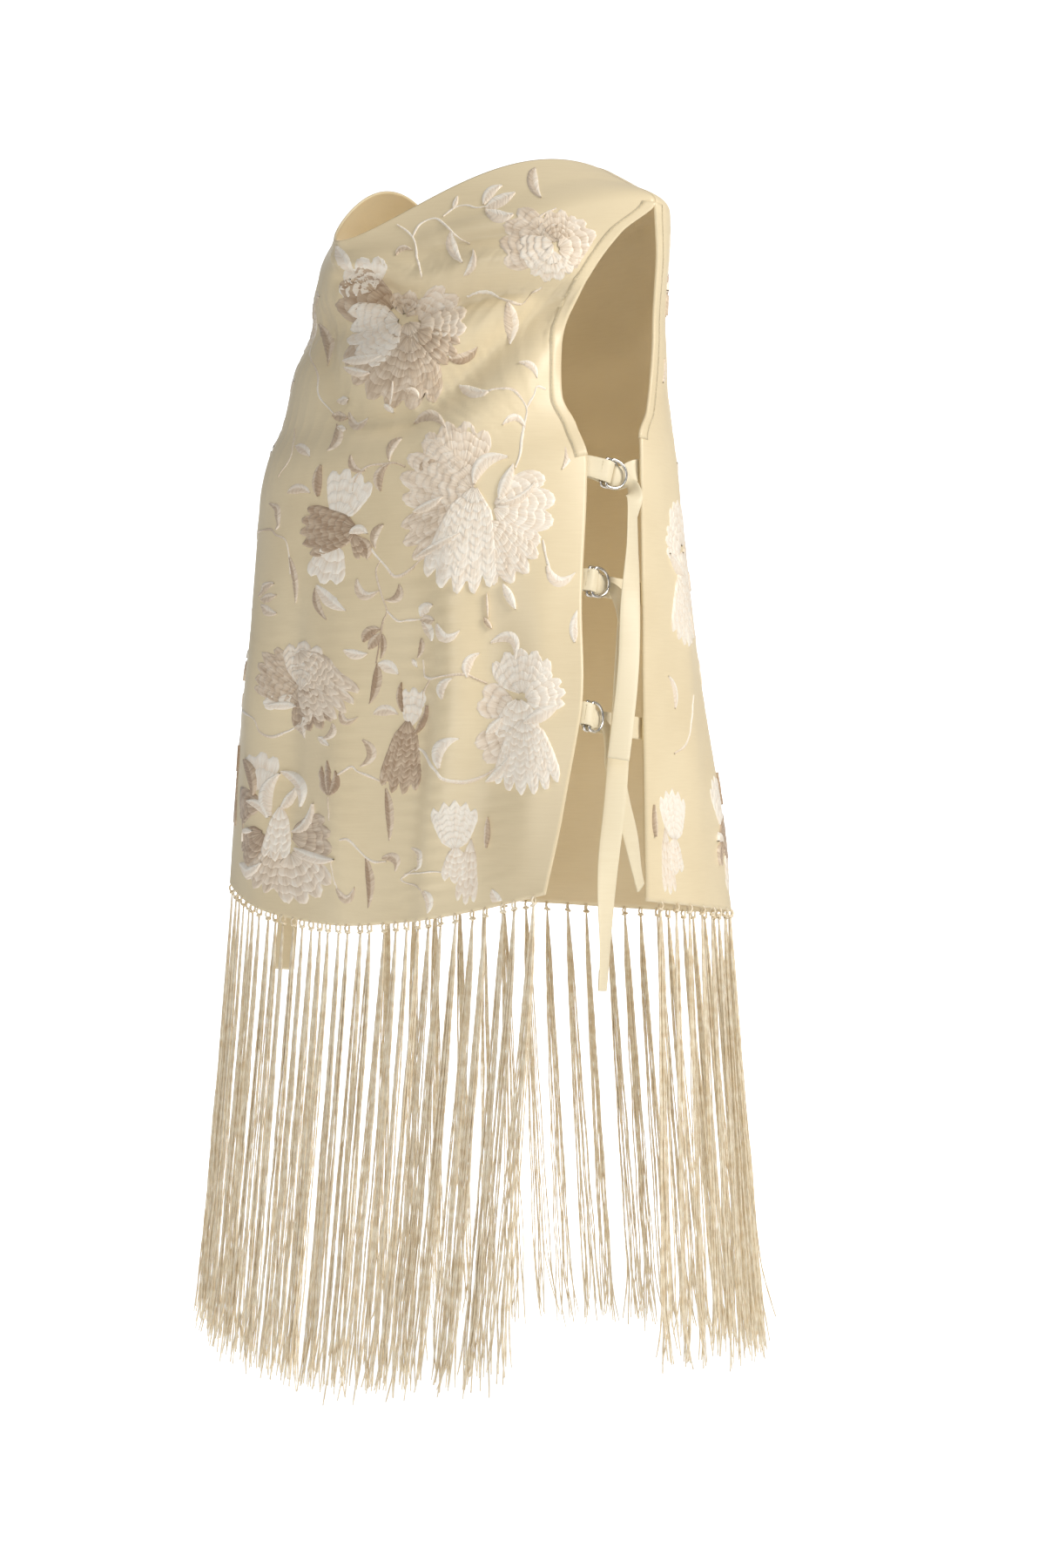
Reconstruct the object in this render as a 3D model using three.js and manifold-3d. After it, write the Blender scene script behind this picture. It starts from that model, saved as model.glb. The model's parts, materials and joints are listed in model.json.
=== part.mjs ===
// Sleeveless satin top of tabard cut, worn shape, open at both sides. Units are millimetres.
// +X is the wearer's left, -Y the wearer's front, +Z up. The origin lies midway between the two
// shoulder seams, at the middle of their height, where the wearer's shoulders carry the garment.
// A front and a back panel meet at the shoulders. The front neckline stands away as a cowl.
// Three taped fastenings on each side pass through pairs of D-rings, and a knotted fringe
// hangs from each hem.
import * as THREE from "three";
import Module from "manifold-3d";

const wasm = await Module();
wasm.setup();

// ---- Driving sizes -------------------------------------------------------------------------
const WALL = 1.6; // embroidered satin with its backing
const SEAM_GAP = 0.4; // between pieces that meet at a seam
const BINDING_WIDTH = 9;
const BINDING_THICKNESS = 1;
const TAPE_WIDTH = 15;
const TAPE_THICKNESS = 1;
const RING_WIRE_RADIUS = 1.1;
const RING_HEIGHT = 19; // across the wire's centre line, along the bar
const RING_DEPTH = 14; // from bar to bow, centre lines
const KNOTS = 31; // along each hem
const LOCKS_PER_KNOT = 2;
const FRINGE_LENGTH = 304; // from knot to tip
const KNOT_BAND_HEIGHT = 5;
const KNOT_BAND_THICKNESS = 2.4;

// ---- Colours -------------------------------------------------------------------------------
const satin = new THREE.MeshStandardMaterial({ color: 0xd9cda9, roughness: 0.45, metalness: 0 });
const tape = new THREE.MeshStandardMaterial({ color: 0xe6dab5, roughness: 0.6, metalness: 0 });
const thread = new THREE.MeshStandardMaterial({ color: 0xd2c4a4, roughness: 0.5, metalness: 0 });
const steel = new THREE.MeshStandardMaterial({ color: 0xc9c7c0, roughness: 0.2, metalness: 1 });

// ---- Panels --------------------------------------------------------------------------------
// A panel is a stack of rows from hem to neckline. A row runs from the -X edge to the +X edge.
// at: the row's place between hem 0 and neckline 1. edge: where the row ends at +X.
// centre: the row at X = 0. round: 1 for an ellipse in plan, 0 for a curve of the given power.
// dip: how sharply the height drops towards the centre. rise: a lift between edge and centre.
const COLUMNS = [
  "at", "edgeX", "edgeY", "edgeZ", "centreY", "centreZ", "round", "power", "dip", "rise",
];
const CORNER = 0.53; // the row where the side edge ends and the armhole starts
const TIP = 0.88; // the row where the armhole ends and the shoulder seam starts
const FRONT_ROWS = [
  [0.0, 192, -110, -487, -144, -512, 0.05, 2.6, 1.0, 0],
  [0.12, 199, -100, -430, -152, -448, 0.15, 2.6, 1.0, 0],
  [0.24, 200, -87, -370, -158, -384, 0.35, 2.4, 1.0, 0],
  [0.4, 181, -71, -285, -166, -298, 0.6, 2.2, 1.0, 0],
  [0.5, 168, -57, -213, -169, -236, 0.75, 2.2, 1.0, 0],
  [0.53, 164, -54, -192, -168, -216, 0.78, 2.2, 1.0, 0],
  [0.57, 152, -54, -172, -166, -192, 0.76, 2.2, 1.0, 0],
  [0.63, 142, -59, -150, -160, -162, 0.75, 2.2, 1.0, 0],
  [0.7, 138, -56, -112, -143, -128, 0.65, 2.1, 1.1, 0],
  [0.77, 146, -43, -74, -132, -102, 0.6, 2.0, 1.4, 0],
  [0.84, 160, -22, -38, -124, -80, 0.4, 1.9, 1.6, 3],
  [0.88, 171, -0.3, -17, -129, -66, 0.3, 1.85, 1.7, 5],
  [0.94, 139, -0.3, 0, -136, -50, 0.15, 1.8, 1.8, 8],
  [1.0, 108, -0.3, 14, -142, -36, 0, 1.7, 1.8, 12],
];
const BACK_ROWS = [
  [0.0, 166, -4, -494, 166, -508, 0.6, 2.2, 1.0, 0],
  [0.15, 169, -8, -425, 148, -436, 0.6, 2.2, 1.0, 0],
  [0.33, 170, -10, -330, 122, -338, 0.6, 2.2, 1.0, 0],
  [0.48, 168, -10, -216, 103, -224, 0.6, 2.2, 1.0, 0],
  [0.53, 166, -9, -178, 97, -186, 0.6, 2.2, 1.0, 0],
  [0.58, 155, 6, -158, 93, -163, 0.6, 2.2, 1.0, 0],
  [0.65, 146, 17, -130, 89, -134, 0.6, 2.2, 1.0, 0],
  [0.73, 146, 19, -98, 84, -102, 0.6, 2.2, 1.0, 0],
  [0.81, 156, 14, -55, 76, -60, 0.7, 2.2, 1.0, 0],
  [0.88, 171, 0.3, -17, 67, -22, 0.8, 2.2, 1.0, 0],
  [0.94, 139, 0.3, 0, 62, -5, 0.9, 2.2, 1.0, 0],
  [1.0, 108, 0.3, 14, 58, 8, 1.0, 2.2, 1.0, 0],
];

// Slope of one column at a row, flat where the column turns back.
function slopeAt(rows, k, c) {
  const rate = (i) => (rows[i + 1][c] - rows[i][c]) / (rows[i + 1][0] - rows[i][0]);
  if (k === 0) return rate(0);
  if (k === rows.length - 1) return rate(k - 1);
  const [before, after] = [rate(k - 1), rate(k)];
  return before * after <= 0 ? 0 : (2 * before * after) / (before + after);
}

// Smooth value of every column at a place between hem and neckline.
function rowAt(rows, at) {
  const found = rows.findIndex((row) => row[0] > at);
  const k = found < 0 ? rows.length - 1 : Math.max(found, 1);
  const [a, b] = [rows[k - 1], rows[k]];
  const span = b[0] - a[0];
  const t = (at - a[0]) / span;
  const values = {};
  COLUMNS.forEach((name, c) => {
    const leave = slopeAt(rows, k - 1, c) * span * t * (1 - t) * (1 - t);
    const arrive = slopeAt(rows, k, c) * span * t * t * (1 - t);
    values[name] = a[c] + (b[c] - a[c]) * t * t * (3 - 2 * t) + leave - arrive;
  });
  return values;
}

// Point of a panel's middle surface before folds. across runs from -1 to 1, up from hem 0 to 1.
function plainPoint(rows, across, up) {
  const row = rowAt(rows, up);
  const u = Math.min(Math.abs(across), 1);
  const quarter = (u * Math.PI) / 2;
  const side = row.round * Math.sin(quarter) + (1 - row.round) * u;
  const depth = row.round * Math.cos(quarter) + (1 - row.round) * (1 - u ** row.power);
  const drop = (1 - u * u) ** row.dip;
  const lift = 4 * row.rise * u * u * (1 - u * u);
  return new THREE.Vector3(
    Math.sign(across) * row.edgeX * side,
    row.edgeY + (row.centreY - row.edgeY) * depth,
    row.edgeZ + (row.centreZ - row.edgeZ) * drop + lift,
  );
}

// Each fold runs along a curve through three places given as (across, up).
// width: half its breadth in millimetres. depth: how far the cloth stands out, or in if negative.
const FOLD_COLUMNS = ["a0", "u0", "a1", "u1", "a2", "u2", "width", "depth"];
const FRONT_FOLDS = [
  [-0.95, 0.8, -0.05, 0.85, 0.95, 0.775, 17, 5],
  [-0.9, 0.75, 0.1, 0.79, 0.92, 0.735, 15, -5],
  [-0.95, 0.72, 0.0, 0.7, 0.95, 0.72, 20, 4],
  [-0.9, 0.66, 0.05, 0.625, 0.95, 0.67, 20, -5],
  [-0.9, 0.6, 0.0, 0.565, 0.9, 0.61, 24, 3],
  [-0.6, 0.02, -0.5, 0.2, -0.4, 0.4, 22, 3],
  [-0.3, 0.0, -0.22, 0.2, -0.2, 0.4, 22, -4],
  [0.33, 0.0, 0.34, 0.2, 0.42, 0.42, 20, -5],
  [0.5, 0.0, 0.52, 0.2, 0.52, 0.42, 20, 4],
  [0.05, 0.0, 0.08, 0.14, 0.04, 0.36, 22, 3],
];
const BACK_FOLDS = [
  [-0.5, 0.02, -0.44, 0.25, -0.4, 0.55, 26, 5],
  [0.0, 0.02, -0.04, 0.3, 0.02, 0.6, 26, -5],
  [0.5, 0.02, 0.46, 0.25, 0.42, 0.55, 26, 5],
  [-0.7, 0.86, 0.0, 0.8, 0.7, 0.86, 20, 3],
];
const ACROSS_MM = 165; // rough size of one unit across, for measuring the folds
const UP_MM = 500; // rough size of one unit up
const FOLD_STEPS = 10;

// Sum of all folds at one place of a panel.
function foldDepth(folds, across, up) {
  let total = 0;
  for (const row of folds) {
    const fold = Object.fromEntries(FOLD_COLUMNS.map((name, c) => [name, row[c]]));
    let nearest = Infinity;
    let place = 0;
    for (let k = 0; k <= FOLD_STEPS; k++) {
      const t = k / FOLD_STEPS;
      const curve = (p, q, r) => p + (r - p) * t + 4 * (q - (p + r) / 2) * t * (1 - t);
      const gapAcross = (across - curve(fold.a0, fold.a1, fold.a2)) * ACROSS_MM;
      const gapUp = (up - curve(fold.u0, fold.u1, fold.u2)) * UP_MM;
      const gap = Math.hypot(gapAcross, gapUp);
      if (gap < nearest) [nearest, place] = [gap, t];
    }
    const fade = Math.sqrt(Math.sin(Math.PI * Math.min(Math.max(place, 0.04), 0.96)));
    total += fold.depth * fade * Math.exp(-((nearest / fold.width) ** 2));
  }
  return total * Math.sqrt(Math.max(0, 1 - across ** 6));
}

function panelPoint(rows, folds, turn, across, up) {
  const plain = (a, u) => plainPoint(rows, a, u);
  const normal = normalOf(plain, across, up, turn);
  return plain(across, up).addScaledVector(normal, foldDepth(folds, across, up));
}

const front = (across, up) => panelPoint(FRONT_ROWS, FRONT_FOLDS, 1, across, up);
const back = (across, up) => panelPoint(BACK_ROWS, BACK_FOLDS, -1, across, up);

// Outward unit normal, from short steps over the surface. turn is 1 on the front, -1 on the back.
function normalOf(surface, across, up, turn) {
  const step = 0.004;
  const [a0, a1] = [Math.max(across - step, -1), Math.min(across + step, 1)];
  const [u0, u1] = [Math.max(up - step, 0), Math.min(up + step, 1)];
  const alongX = surface(a1, up).sub(surface(a0, up));
  const alongZ = surface(across, u1).sub(surface(across, u0));
  return alongX.cross(alongZ).normalize().multiplyScalar(turn);
}

// A closed solid from two grids of points with the same layout, outer and inner.
function wallGeometry(outer, inner) {
  const rows = outer.length;
  const columns = outer[0].length;
  const points = [...outer.flat(), ...inner.flat()];
  const index = [];
  const id = (layer, j, i) => layer * rows * columns + j * columns + i;
  const quad = (a, b, c, d) => index.push(a, b, c, a, c, d);
  for (let j = 0; j < rows - 1; j++)
    for (let i = 0; i < columns - 1; i++) {
      quad(id(0, j, i), id(0, j, i + 1), id(0, j + 1, i + 1), id(0, j + 1, i));
      quad(id(1, j, i), id(1, j + 1, i), id(1, j + 1, i + 1), id(1, j, i + 1));
    }
  for (let i = 0; i < columns - 1; i++) {
    quad(id(1, 0, i), id(1, 0, i + 1), id(0, 0, i + 1), id(0, 0, i));
    quad(id(0, rows - 1, i), id(0, rows - 1, i + 1), id(1, rows - 1, i + 1), id(1, rows - 1, i));
  }
  for (let j = 0; j < rows - 1; j++) {
    quad(id(0, j, 0), id(0, j + 1, 0), id(1, j + 1, 0), id(1, j, 0));
    quad(id(1, j, columns - 1), id(1, j + 1, columns - 1), id(0, j + 1, columns - 1), id(0, j, columns - 1));
  }
  return facingOut(points, index);
}

// Turns every triangle round if the solid came out inside out.
function facingOut(points, index) {
  let volume = 0;
  for (let k = 0; k < index.length; k += 3) {
    const [a, b, c] = [points[index[k]], points[index[k + 1]], points[index[k + 2]]];
    volume += a.dot(b.clone().cross(c));
  }
  if (volume < 0) index.reverse();
  const geometry = new THREE.BufferGeometry().setFromPoints(points);
  geometry.setIndex(index);
  return geometry;
}

// Normal for building a wall. Along the shoulder seam both panels share one normal without Y.
function wallNormal(surface, turn, across, up) {
  const normal = normalOf(surface, across, up, turn);
  if (up < TIP || Math.abs(across) < 1) return normal;
  normal.y = 0;
  return normal.normalize();
}

function named(name, geometry, material) {
  const mesh = new THREE.Mesh(geometry, material);
  mesh.name = name;
  return mesh;
}

// Even places along a panel, with one exactly on the corner and one on the shoulder tip.
function placesUp(below, beside, above) {
  const places = [];
  for (let k = 0; k < below; k++) places.push((CORNER * k) / below);
  for (let k = 0; k < beside; k++) places.push(CORNER + ((TIP - CORNER) * k) / beside);
  for (let k = 0; k <= above; k++) places.push(TIP + ((1 - TIP) * k) / above);
  return places;
}

const FRONT_PLACES = placesUp(15, 12, 5);
const BACK_PLACES = placesUp(10, 9, 4);

function panelMesh(name, surface, turn, columns, places) {
  const grid = (offset) =>
    places.map((up) =>
      Array.from({ length: columns + 1 }, (_, i) => {
        const across = -1 + (2 * i) / columns;
        const normal = wallNormal(surface, turn, across, up);
        return surface(across, up).addScaledVector(normal, offset);
      }),
    );
  return named(name, wallGeometry(grid(WALL / 2), grid(-WALL / 2)), satin);
}

// ---- Bands, tapes and rings ----------------------------------------------------------------
// A closed band through sections. Each section is four corners, in order round the band.
function bandGeometry(sections) {
  const points = sections.flat();
  const index = [];
  const last = 4 * (sections.length - 1);
  for (let k = 0; k < sections.length - 1; k++)
    for (let c = 0; c < 4; c++) {
      const [a, b] = [4 * k + c, 4 * k + ((c + 1) % 4)];
      // opposite sides are cut along the same diagonal, so a twisted band keeps its thickness
      if (c < 2) index.push(a, b, b + 4, a, b + 4, a + 4);
      else index.push(a, b, a + 4, b, b + 4, a + 4);
    }
  index.push(0, 3, 2, 0, 2, 1, last, last + 1, last + 2, last, last + 2, last + 3);
  return facingOut(points, index);
}

// Tape along a path. Each stop has a centre and a unit vector across the tape.
function tapeGeometry(stops, fullWidth, thickness) {
  const sections = stops.map(({ centre, wide, share = 1 }, k) => {
    const width = fullWidth * share;
    const next = stops[Math.min(k + 1, stops.length - 1)].centre;
    const previous = stops[Math.max(k - 1, 0)].centre;
    const along = next.clone().sub(previous).normalize();
    const side = wide.clone().addScaledVector(along, -wide.dot(along)).normalize();
    const face = along.clone().cross(side).normalize();
    const corner = (s, f) =>
      centre.clone().addScaledVector(side, (s * width) / 2).addScaledVector(face, (f * thickness) / 2);
    return [corner(-1, -1), corner(1, -1), corner(1, 1), corner(-1, 1)];
  });
  return bandGeometry(sections);
}

// Round wire along a closed loop of centres lying in one plane.
function wireLoopGeometry(centres, planeNormal, radius, sides) {
  const count = centres.length;
  const points = [];
  const index = [];
  centres.forEach((centre, k) => {
    const along = centres[(k + 1) % count].clone().sub(centres[(k + count - 1) % count]);
    const outward = along.normalize().cross(planeNormal).normalize();
    for (let s = 0; s < sides; s++) {
      const turn = (2 * Math.PI * (s + 0.5)) / sides;
      points.push(
        centre
          .clone()
          .addScaledVector(outward, radius * Math.cos(turn))
          .addScaledVector(planeNormal, radius * Math.sin(turn)),
      );
    }
  });
  for (let k = 0; k < count; k++)
    for (let s = 0; s < sides; s++) {
      const [a, b] = [k * sides + s, k * sides + ((s + 1) % sides)];
      const [c, d] = [((k + 1) % count) * sides + s, ((k + 1) % count) * sides + ((s + 1) % sides)];
      index.push(a, b, d, a, d, c);
    }
  return facingOut(points, index);
}

// ---- Armhole bindings ----------------------------------------------------------------------
const BINDING_LIFT = 0.9; // from the panel's face to the binding

// The binding's two long edges on one panel: at the cut edge, and one binding width inside it.
function bindingStop(surface, turn, side, up) {
  const edge = surface(side, up);
  const reach = edge.distanceTo(surface(side * 0.9, up)) / 0.1;
  const inside = side * (1 - BINDING_WIDTH / reach);
  const lift = WALL / 2 + BINDING_LIFT;
  const stop = [side, inside].map((across) => {
    const normal = wallNormal(surface, turn, across, up);
    const under = surface(across, up).addScaledVector(normal, lift);
    return { under, over: under.clone().addScaledVector(normal, BINDING_THICKNESS) };
  });
  return [stop[0].under, stop[1].under, stop[1].over, stop[0].over];
}

// The section on the shoulder seam itself, one binding width in from the tip.
function bindingSeam(side) {
  const seamLength = front(side, TIP).distanceTo(front(side, 1));
  const ups = [TIP, TIP + ((1 - TIP) * BINDING_WIDTH) / seamLength];
  const stop = ups.map((up) => {
    const normal = wallNormal(front, 1, side, up);
    const middle = front(side, up).lerp(back(side, up), 0.5);
    const under = middle.addScaledVector(normal, WALL / 2 + BINDING_LIFT);
    return { under, over: under.clone().addScaledVector(normal, BINDING_THICKNESS) };
  });
  return [stop[0].under, stop[1].under, stop[1].over, stop[0].over];
}

// Its sections stand on the panels' own rows, so that it follows their facets.
function bindingMesh(name, side) {
  const along = (places) => places.filter((up) => up >= CORNER - 1e-9 && up < TIP + 1e-9);
  const frontStops = along(FRONT_PLACES).map((up) => bindingStop(front, 1, side, up));
  const backStops = along(BACK_PLACES).map((up) => bindingStop(back, -1, side, up));
  const sections = [...frontStops, bindingSeam(side), ...backStops.reverse()];
  return named(name, bandGeometry(sections), satin);
}

// ---- Side fastenings -----------------------------------------------------------------------
// frontAt, backAt: heights of the ends on the front and back edge. slant: the tab's fall in
// degrees. reach: from the front edge to the first bar. tail: free length below the rings.
// stand: how far the tail stands off the side. topY, endY: where the tail hangs at its top and
// its end. ease: how early it moves across. turnTop, turnMiddle, turnEnd: sideways share of its
// width at three places down.
const FASTENING_COLUMNS = [
  "frontAt", "backAt", "slant", "reach", "tail", "stand", "topY", "endY", "ease",
  "turnTop", "turnMiddle", "turnEnd",
];
const FASTENINGS = [
  [-198, -200, 16, 15, 164, 16, -31, -58, 1.4, 0.5, -0.3, -0.55],
  [-276, -284, 10, 7, 246, 10, -38, -62, 0.65, 0.1, -0.5, 0.6],
  [-366, -376, 14, 7.5, 86, 4.5, -50, -13, 1, 0, 0.2, 0.6],
];
const LEVELS = ["upper", "middle", "lower"];
const BAR_STEP = 2.6; // how much further out the outer ring sits
const BAR_SPREAD = 1.4; // each bar's distance from the tab's middle
const TAB_HOLD = BAR_SPREAD + RING_WIRE_RADIUS + 0.3 + TAPE_THICKNESS / 2;
const CURL_STEPS = 6; // sections where a tail curls over from the rings
const HANG_STEPS = 8; // sections along each hanging tail
const HANG_DROP = 26; // how far below the rings the hanging part starts
const GATHERED = 0.5; // share of its width that a tape keeps where it bunches in the rings
const CURL_REACH = 32; // pull of the curl along the tape as it leaves the rings
const CURL_FALL = 30; // pull of the curl straight down where the hanging part starts
const LOWEST_EDGE = -470; // below this height a tail keeps to the side edges as they are here
const RING_FAN = 5; // degrees between a ring and the tab's middle plane
const DEGREE = Math.PI / 180;

// The edge point of a panel at a given height.
function edgeAtHeight(surface, side, height) {
  let [low, high] = [0, CORNER];
  for (let k = 0; k < 30; k++) {
    const middle = (low + high) / 2;
    if (surface(side, middle).z < height) low = middle;
    else high = middle;
  }
  return { point: surface(side, low), up: low };
}

// A tape stop on a panel's inner face, some way in from its side edge, its width along slope.
function underPanel(surface, turn, side, height, inset, depth, slope) {
  const up = edgeAtHeight(surface, side, height).up;
  const reach = surface(side, up).distanceTo(surface(side * 0.9, up)) / 0.1;
  const across = side * (1 - inset / reach);
  const normal = normalOf(surface, across, up, turn);
  const centre = surface(across, up).addScaledVector(normal, -depth);
  const wide = slope.clone().addScaledVector(normal, -slope.dot(normal)).normalize();
  return { centre, wide };
}

// Where a tape hangs over the open side, at a given height and Y, standing off by some distance.
function overSide(side, y, height, stand) {
  const held = Math.max(height, LOWEST_EDGE);
  const frontEdge = edgeAtHeight(front, side, held).point;
  const backEdge = edgeAtHeight(back, side, held).point;
  const share = (y - frontEdge.y) / (backEdge.y - frontEdge.y);
  const x = Math.abs(frontEdge.x + (backEdge.x - frontEdge.x) * share) + stand;
  return new THREE.Vector3(side * x, y, height);
}

const easeInOut = (t) => t * t * (3 - 2 * t);

// The direction of a hanging tail's width: its turn at the top, halfway and at the end, eased.
function tailWidth({ turnTop, turnMiddle, turnEnd }, side, t) {
  const upper = t < 0.5;
  const [from, to] = upper ? [turnTop, turnMiddle] : [turnMiddle, turnEnd];
  const turn = from + (to - from) * easeInOut(upper ? 2 * t : 2 * t - 1);
  return new THREE.Vector3(turn * side, -1, 0).normalize();
}

function fasteningMeshes(sideName, side, level, row) {
  const fastening = Object.fromEntries(FASTENING_COLUMNS.map((name, c) => [name, row[c]]));
  const frontEdge = edgeAtHeight(front, side, fastening.frontAt).point;
  const backEdge = edgeAtHeight(back, side, fastening.backAt).point;
  const flat = backEdge.clone().sub(frontEdge).setZ(0).normalize();
  const down = new THREE.Vector3(0, 0, -1);
  const fall = fastening.slant * DEGREE;
  const h = flat.clone().multiplyScalar(Math.cos(fall)).addScaledVector(down, Math.sin(fall));
  const out = flat.clone().cross(down).multiplyScalar(-side).normalize();
  const v = h.clone().cross(out).multiplyScalar(side).normalize();
  const at = (along, outward) =>
    frontEdge.clone().addScaledVector(h, along).addScaledVector(out, outward);

  // The tab's two legs start under the front panel's edge and go round both bars.
  const under = WALL / 2 + TAPE_THICKNESS / 2 + 1;
  const legGap = TAPE_THICKNESS + 0.6;
  const sewn = (surface, turn, height, inset, depth) =>
    underPanel(surface, turn, side, height, inset, depth, v);
  const frontLeg = (inset, depth) => sewn(front, 1, fastening.frontAt, inset, depth);
  const turnAt = fastening.reach + BAR_STEP;
  const loop = [
    [fastening.reach - 1.5, TAB_HOLD], [turnAt, TAB_HOLD],
    [turnAt + TAB_HOLD * 0.7, TAB_HOLD * 0.7], [turnAt + TAB_HOLD, 0],
    [turnAt + TAB_HOLD * 0.7, -TAB_HOLD * 0.7], [turnAt, -TAB_HOLD],
    [fastening.reach - 0.5, -TAB_HOLD],
  ].map(([along, outward]) => ({ centre: at(along, outward), wide: v }));
  const tabStops = [
    frontLeg(9, under), frontLeg(0.5, under), ...loop,
    frontLeg(0.5, under + legGap), frontLeg(9, under + legGap),
  ];
  const tab = tapeGeometry(tabStops, TAPE_WIDTH, TAPE_THICKNESS);
  const meshes = [named(`tab_${sideName}_${level}`, tab, tape)];

  // Two D-rings, bars side by side in the tab, bows fanned a little apart.
  ["outer", "inner"].forEach((which, k) => {
    const sign = k === 0 ? 1 : -1;
    const fan = sign * RING_FAN * DEGREE;
    const reach = h.clone().multiplyScalar(Math.cos(fan)).addScaledVector(out, Math.sin(fan));
    const bar = at(k === 0 ? turnAt : fastening.reach, sign * BAR_SPREAD);
    const centres = ringOutline().map(([deep, high]) =>
      bar.clone().addScaledVector(reach, deep).addScaledVector(v, high),
    );
    const planeNormal = reach.clone().cross(v).normalize();
    const wire = wireLoopGeometry(centres, planeNormal, RING_WIRE_RADIUS, 6);
    meshes.push(named(`ring_${sideName}_${level}_${which}`, wire, steel));
  });

  // The tape: from under the back panel's edge, up through the inner ring, back between the
  // two bows, then out and down.
  const through = turnAt + TAB_HOLD + TAPE_THICKNESS + 0.5;
  const below = -(TAB_HOLD + 1.6);
  const between = -0.1;
  const bendAt = (below + between) / 2;
  const bendHalf = (between - below) / 2;
  const stops = [];
  const stop = (centre, wide, share) => stops.push({ centre, wide, share });
  stops.push(sewn(back, -1, fastening.backAt, 8, under + 1.5));
  stops.push(sewn(back, -1, fastening.backAt, 0, under + 1.5));
  stop(at(through + 8, below), v);
  stop(at(through + 2, below), v);
  stop(at(through + 0.5, bendAt - bendHalf * 0.75), v);
  stop(at(through, bendAt), v);
  stop(at(through + 0.5, bendAt + bendHalf * 0.75), v);
  stop(at(through + 2, between), v);
  const leave = at(turnAt + RING_DEPTH + 2.5, between);
  stop(leave, v, GATHERED);
  const topZ = leave.z - HANG_DROP;
  const hangFrom = overSide(side, fastening.topY, topZ, fastening.stand);
  const wideAt = (t) => tailWidth(fastening, side, t);
  for (let k = 1; k <= CURL_STEPS; k++) {
    const t = k / (CURL_STEPS + 1);
    const turned = easeInOut(t);
    const bend = leave.clone().lerp(hangFrom, turned);
    bend.addScaledVector(h, CURL_REACH * t * (1 - t) ** 2);
    bend.addScaledVector(down, -CURL_FALL * t * t * (1 - t));
    const share = GATHERED + (1 - GATHERED) * easeInOut(t);
    stop(bend, v.clone().lerp(wideAt(0), turned).normalize(), share);
  }
  for (let k = 0; k <= HANG_STEPS; k++) {
    const t = k / HANG_STEPS;
    const y = fastening.topY + (fastening.endY - fastening.topY) * t ** fastening.ease;
    stop(overSide(side, y, topZ - fastening.tail * t, fastening.stand), wideAt(t));
  }
  meshes.push(named(`strap_${sideName}_${level}`, tapeGeometry(stops, TAPE_WIDTH, TAPE_THICKNESS), tape));
  return meshes;
}

// Centre line of a D-ring as (depth from the bar, height), bar at depth 0.
function ringOutline() {
  const half = RING_HEIGHT / 2;
  const outline = [[0, -half + 1.2], [0, 0], [0, half - 1.2], [1.2, half], [4.5, half]];
  for (const turn of [70, 45, 20, 0, -20, -45, -70]) {
    const deep = 4.5 + (RING_DEPTH - 4.5) * Math.cos(turn * DEGREE);
    outline.push([deep, half * Math.sin(turn * DEGREE)]);
  }
  outline.push([4.5, -half], [1.2, -half]);
  return outline;
}

// ---- Knotted fringes -----------------------------------------------------------------------
// The knot band follows the hem just below it: tall and thick at each knot, thin between.
function fringeMesh(name, surface, turn, tipShift) {
  const total = KNOTS * 2;
  const sections = [];
  const roots = [];
  for (let k = 0; k <= total; k++) {
    const across = -0.985 + (1.97 * k) / total;
    const knot = k % 2;
    const edge = surface(across, 0);
    const normal = normalOf(surface, across, 0, turn).setZ(0).normalize();
    const high = edge.z - WALL / 2 - SEAM_GAP;
    const tall = knot ? KNOT_BAND_HEIGHT : KNOT_BAND_HEIGHT * 0.45;
    const thick = (knot ? KNOT_BAND_THICKNESS : KNOT_BAND_THICKNESS * 0.6) / 2;
    const corner = (n, z) => edge.clone().addScaledVector(normal, n * thick).setZ(z);
    sections.push([corner(-1, high), corner(1, high), corner(1, high - tall), corner(-1, high - tall)]);
    if (knot) roots.push({ across, root: edge.clone().setZ(high - tall + 1.6), normal });
  }
  let solid = asManifold(bandGeometry(sections));
  const locks = [];
  roots.forEach(({ across, root, normal }, k) => {
    const along = new THREE.Vector3(normal.y, -normal.x, 0).multiplyScalar(turn);
    for (let side = 0; side < LOCKS_PER_KNOT; side++) {
      const seed = k * LOCKS_PER_KNOT + side;
      const start = root.clone().addScaledVector(along, (side - 0.5) * 2.6);
      locks.push(asManifold(lockGeometry(start, along, normal, tipShift(across), side, seed)));
    }
  });
  solid = wasm.Manifold.union([solid, ...locks]);
  return named(name, fromManifold(solid), thread);
}

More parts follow.
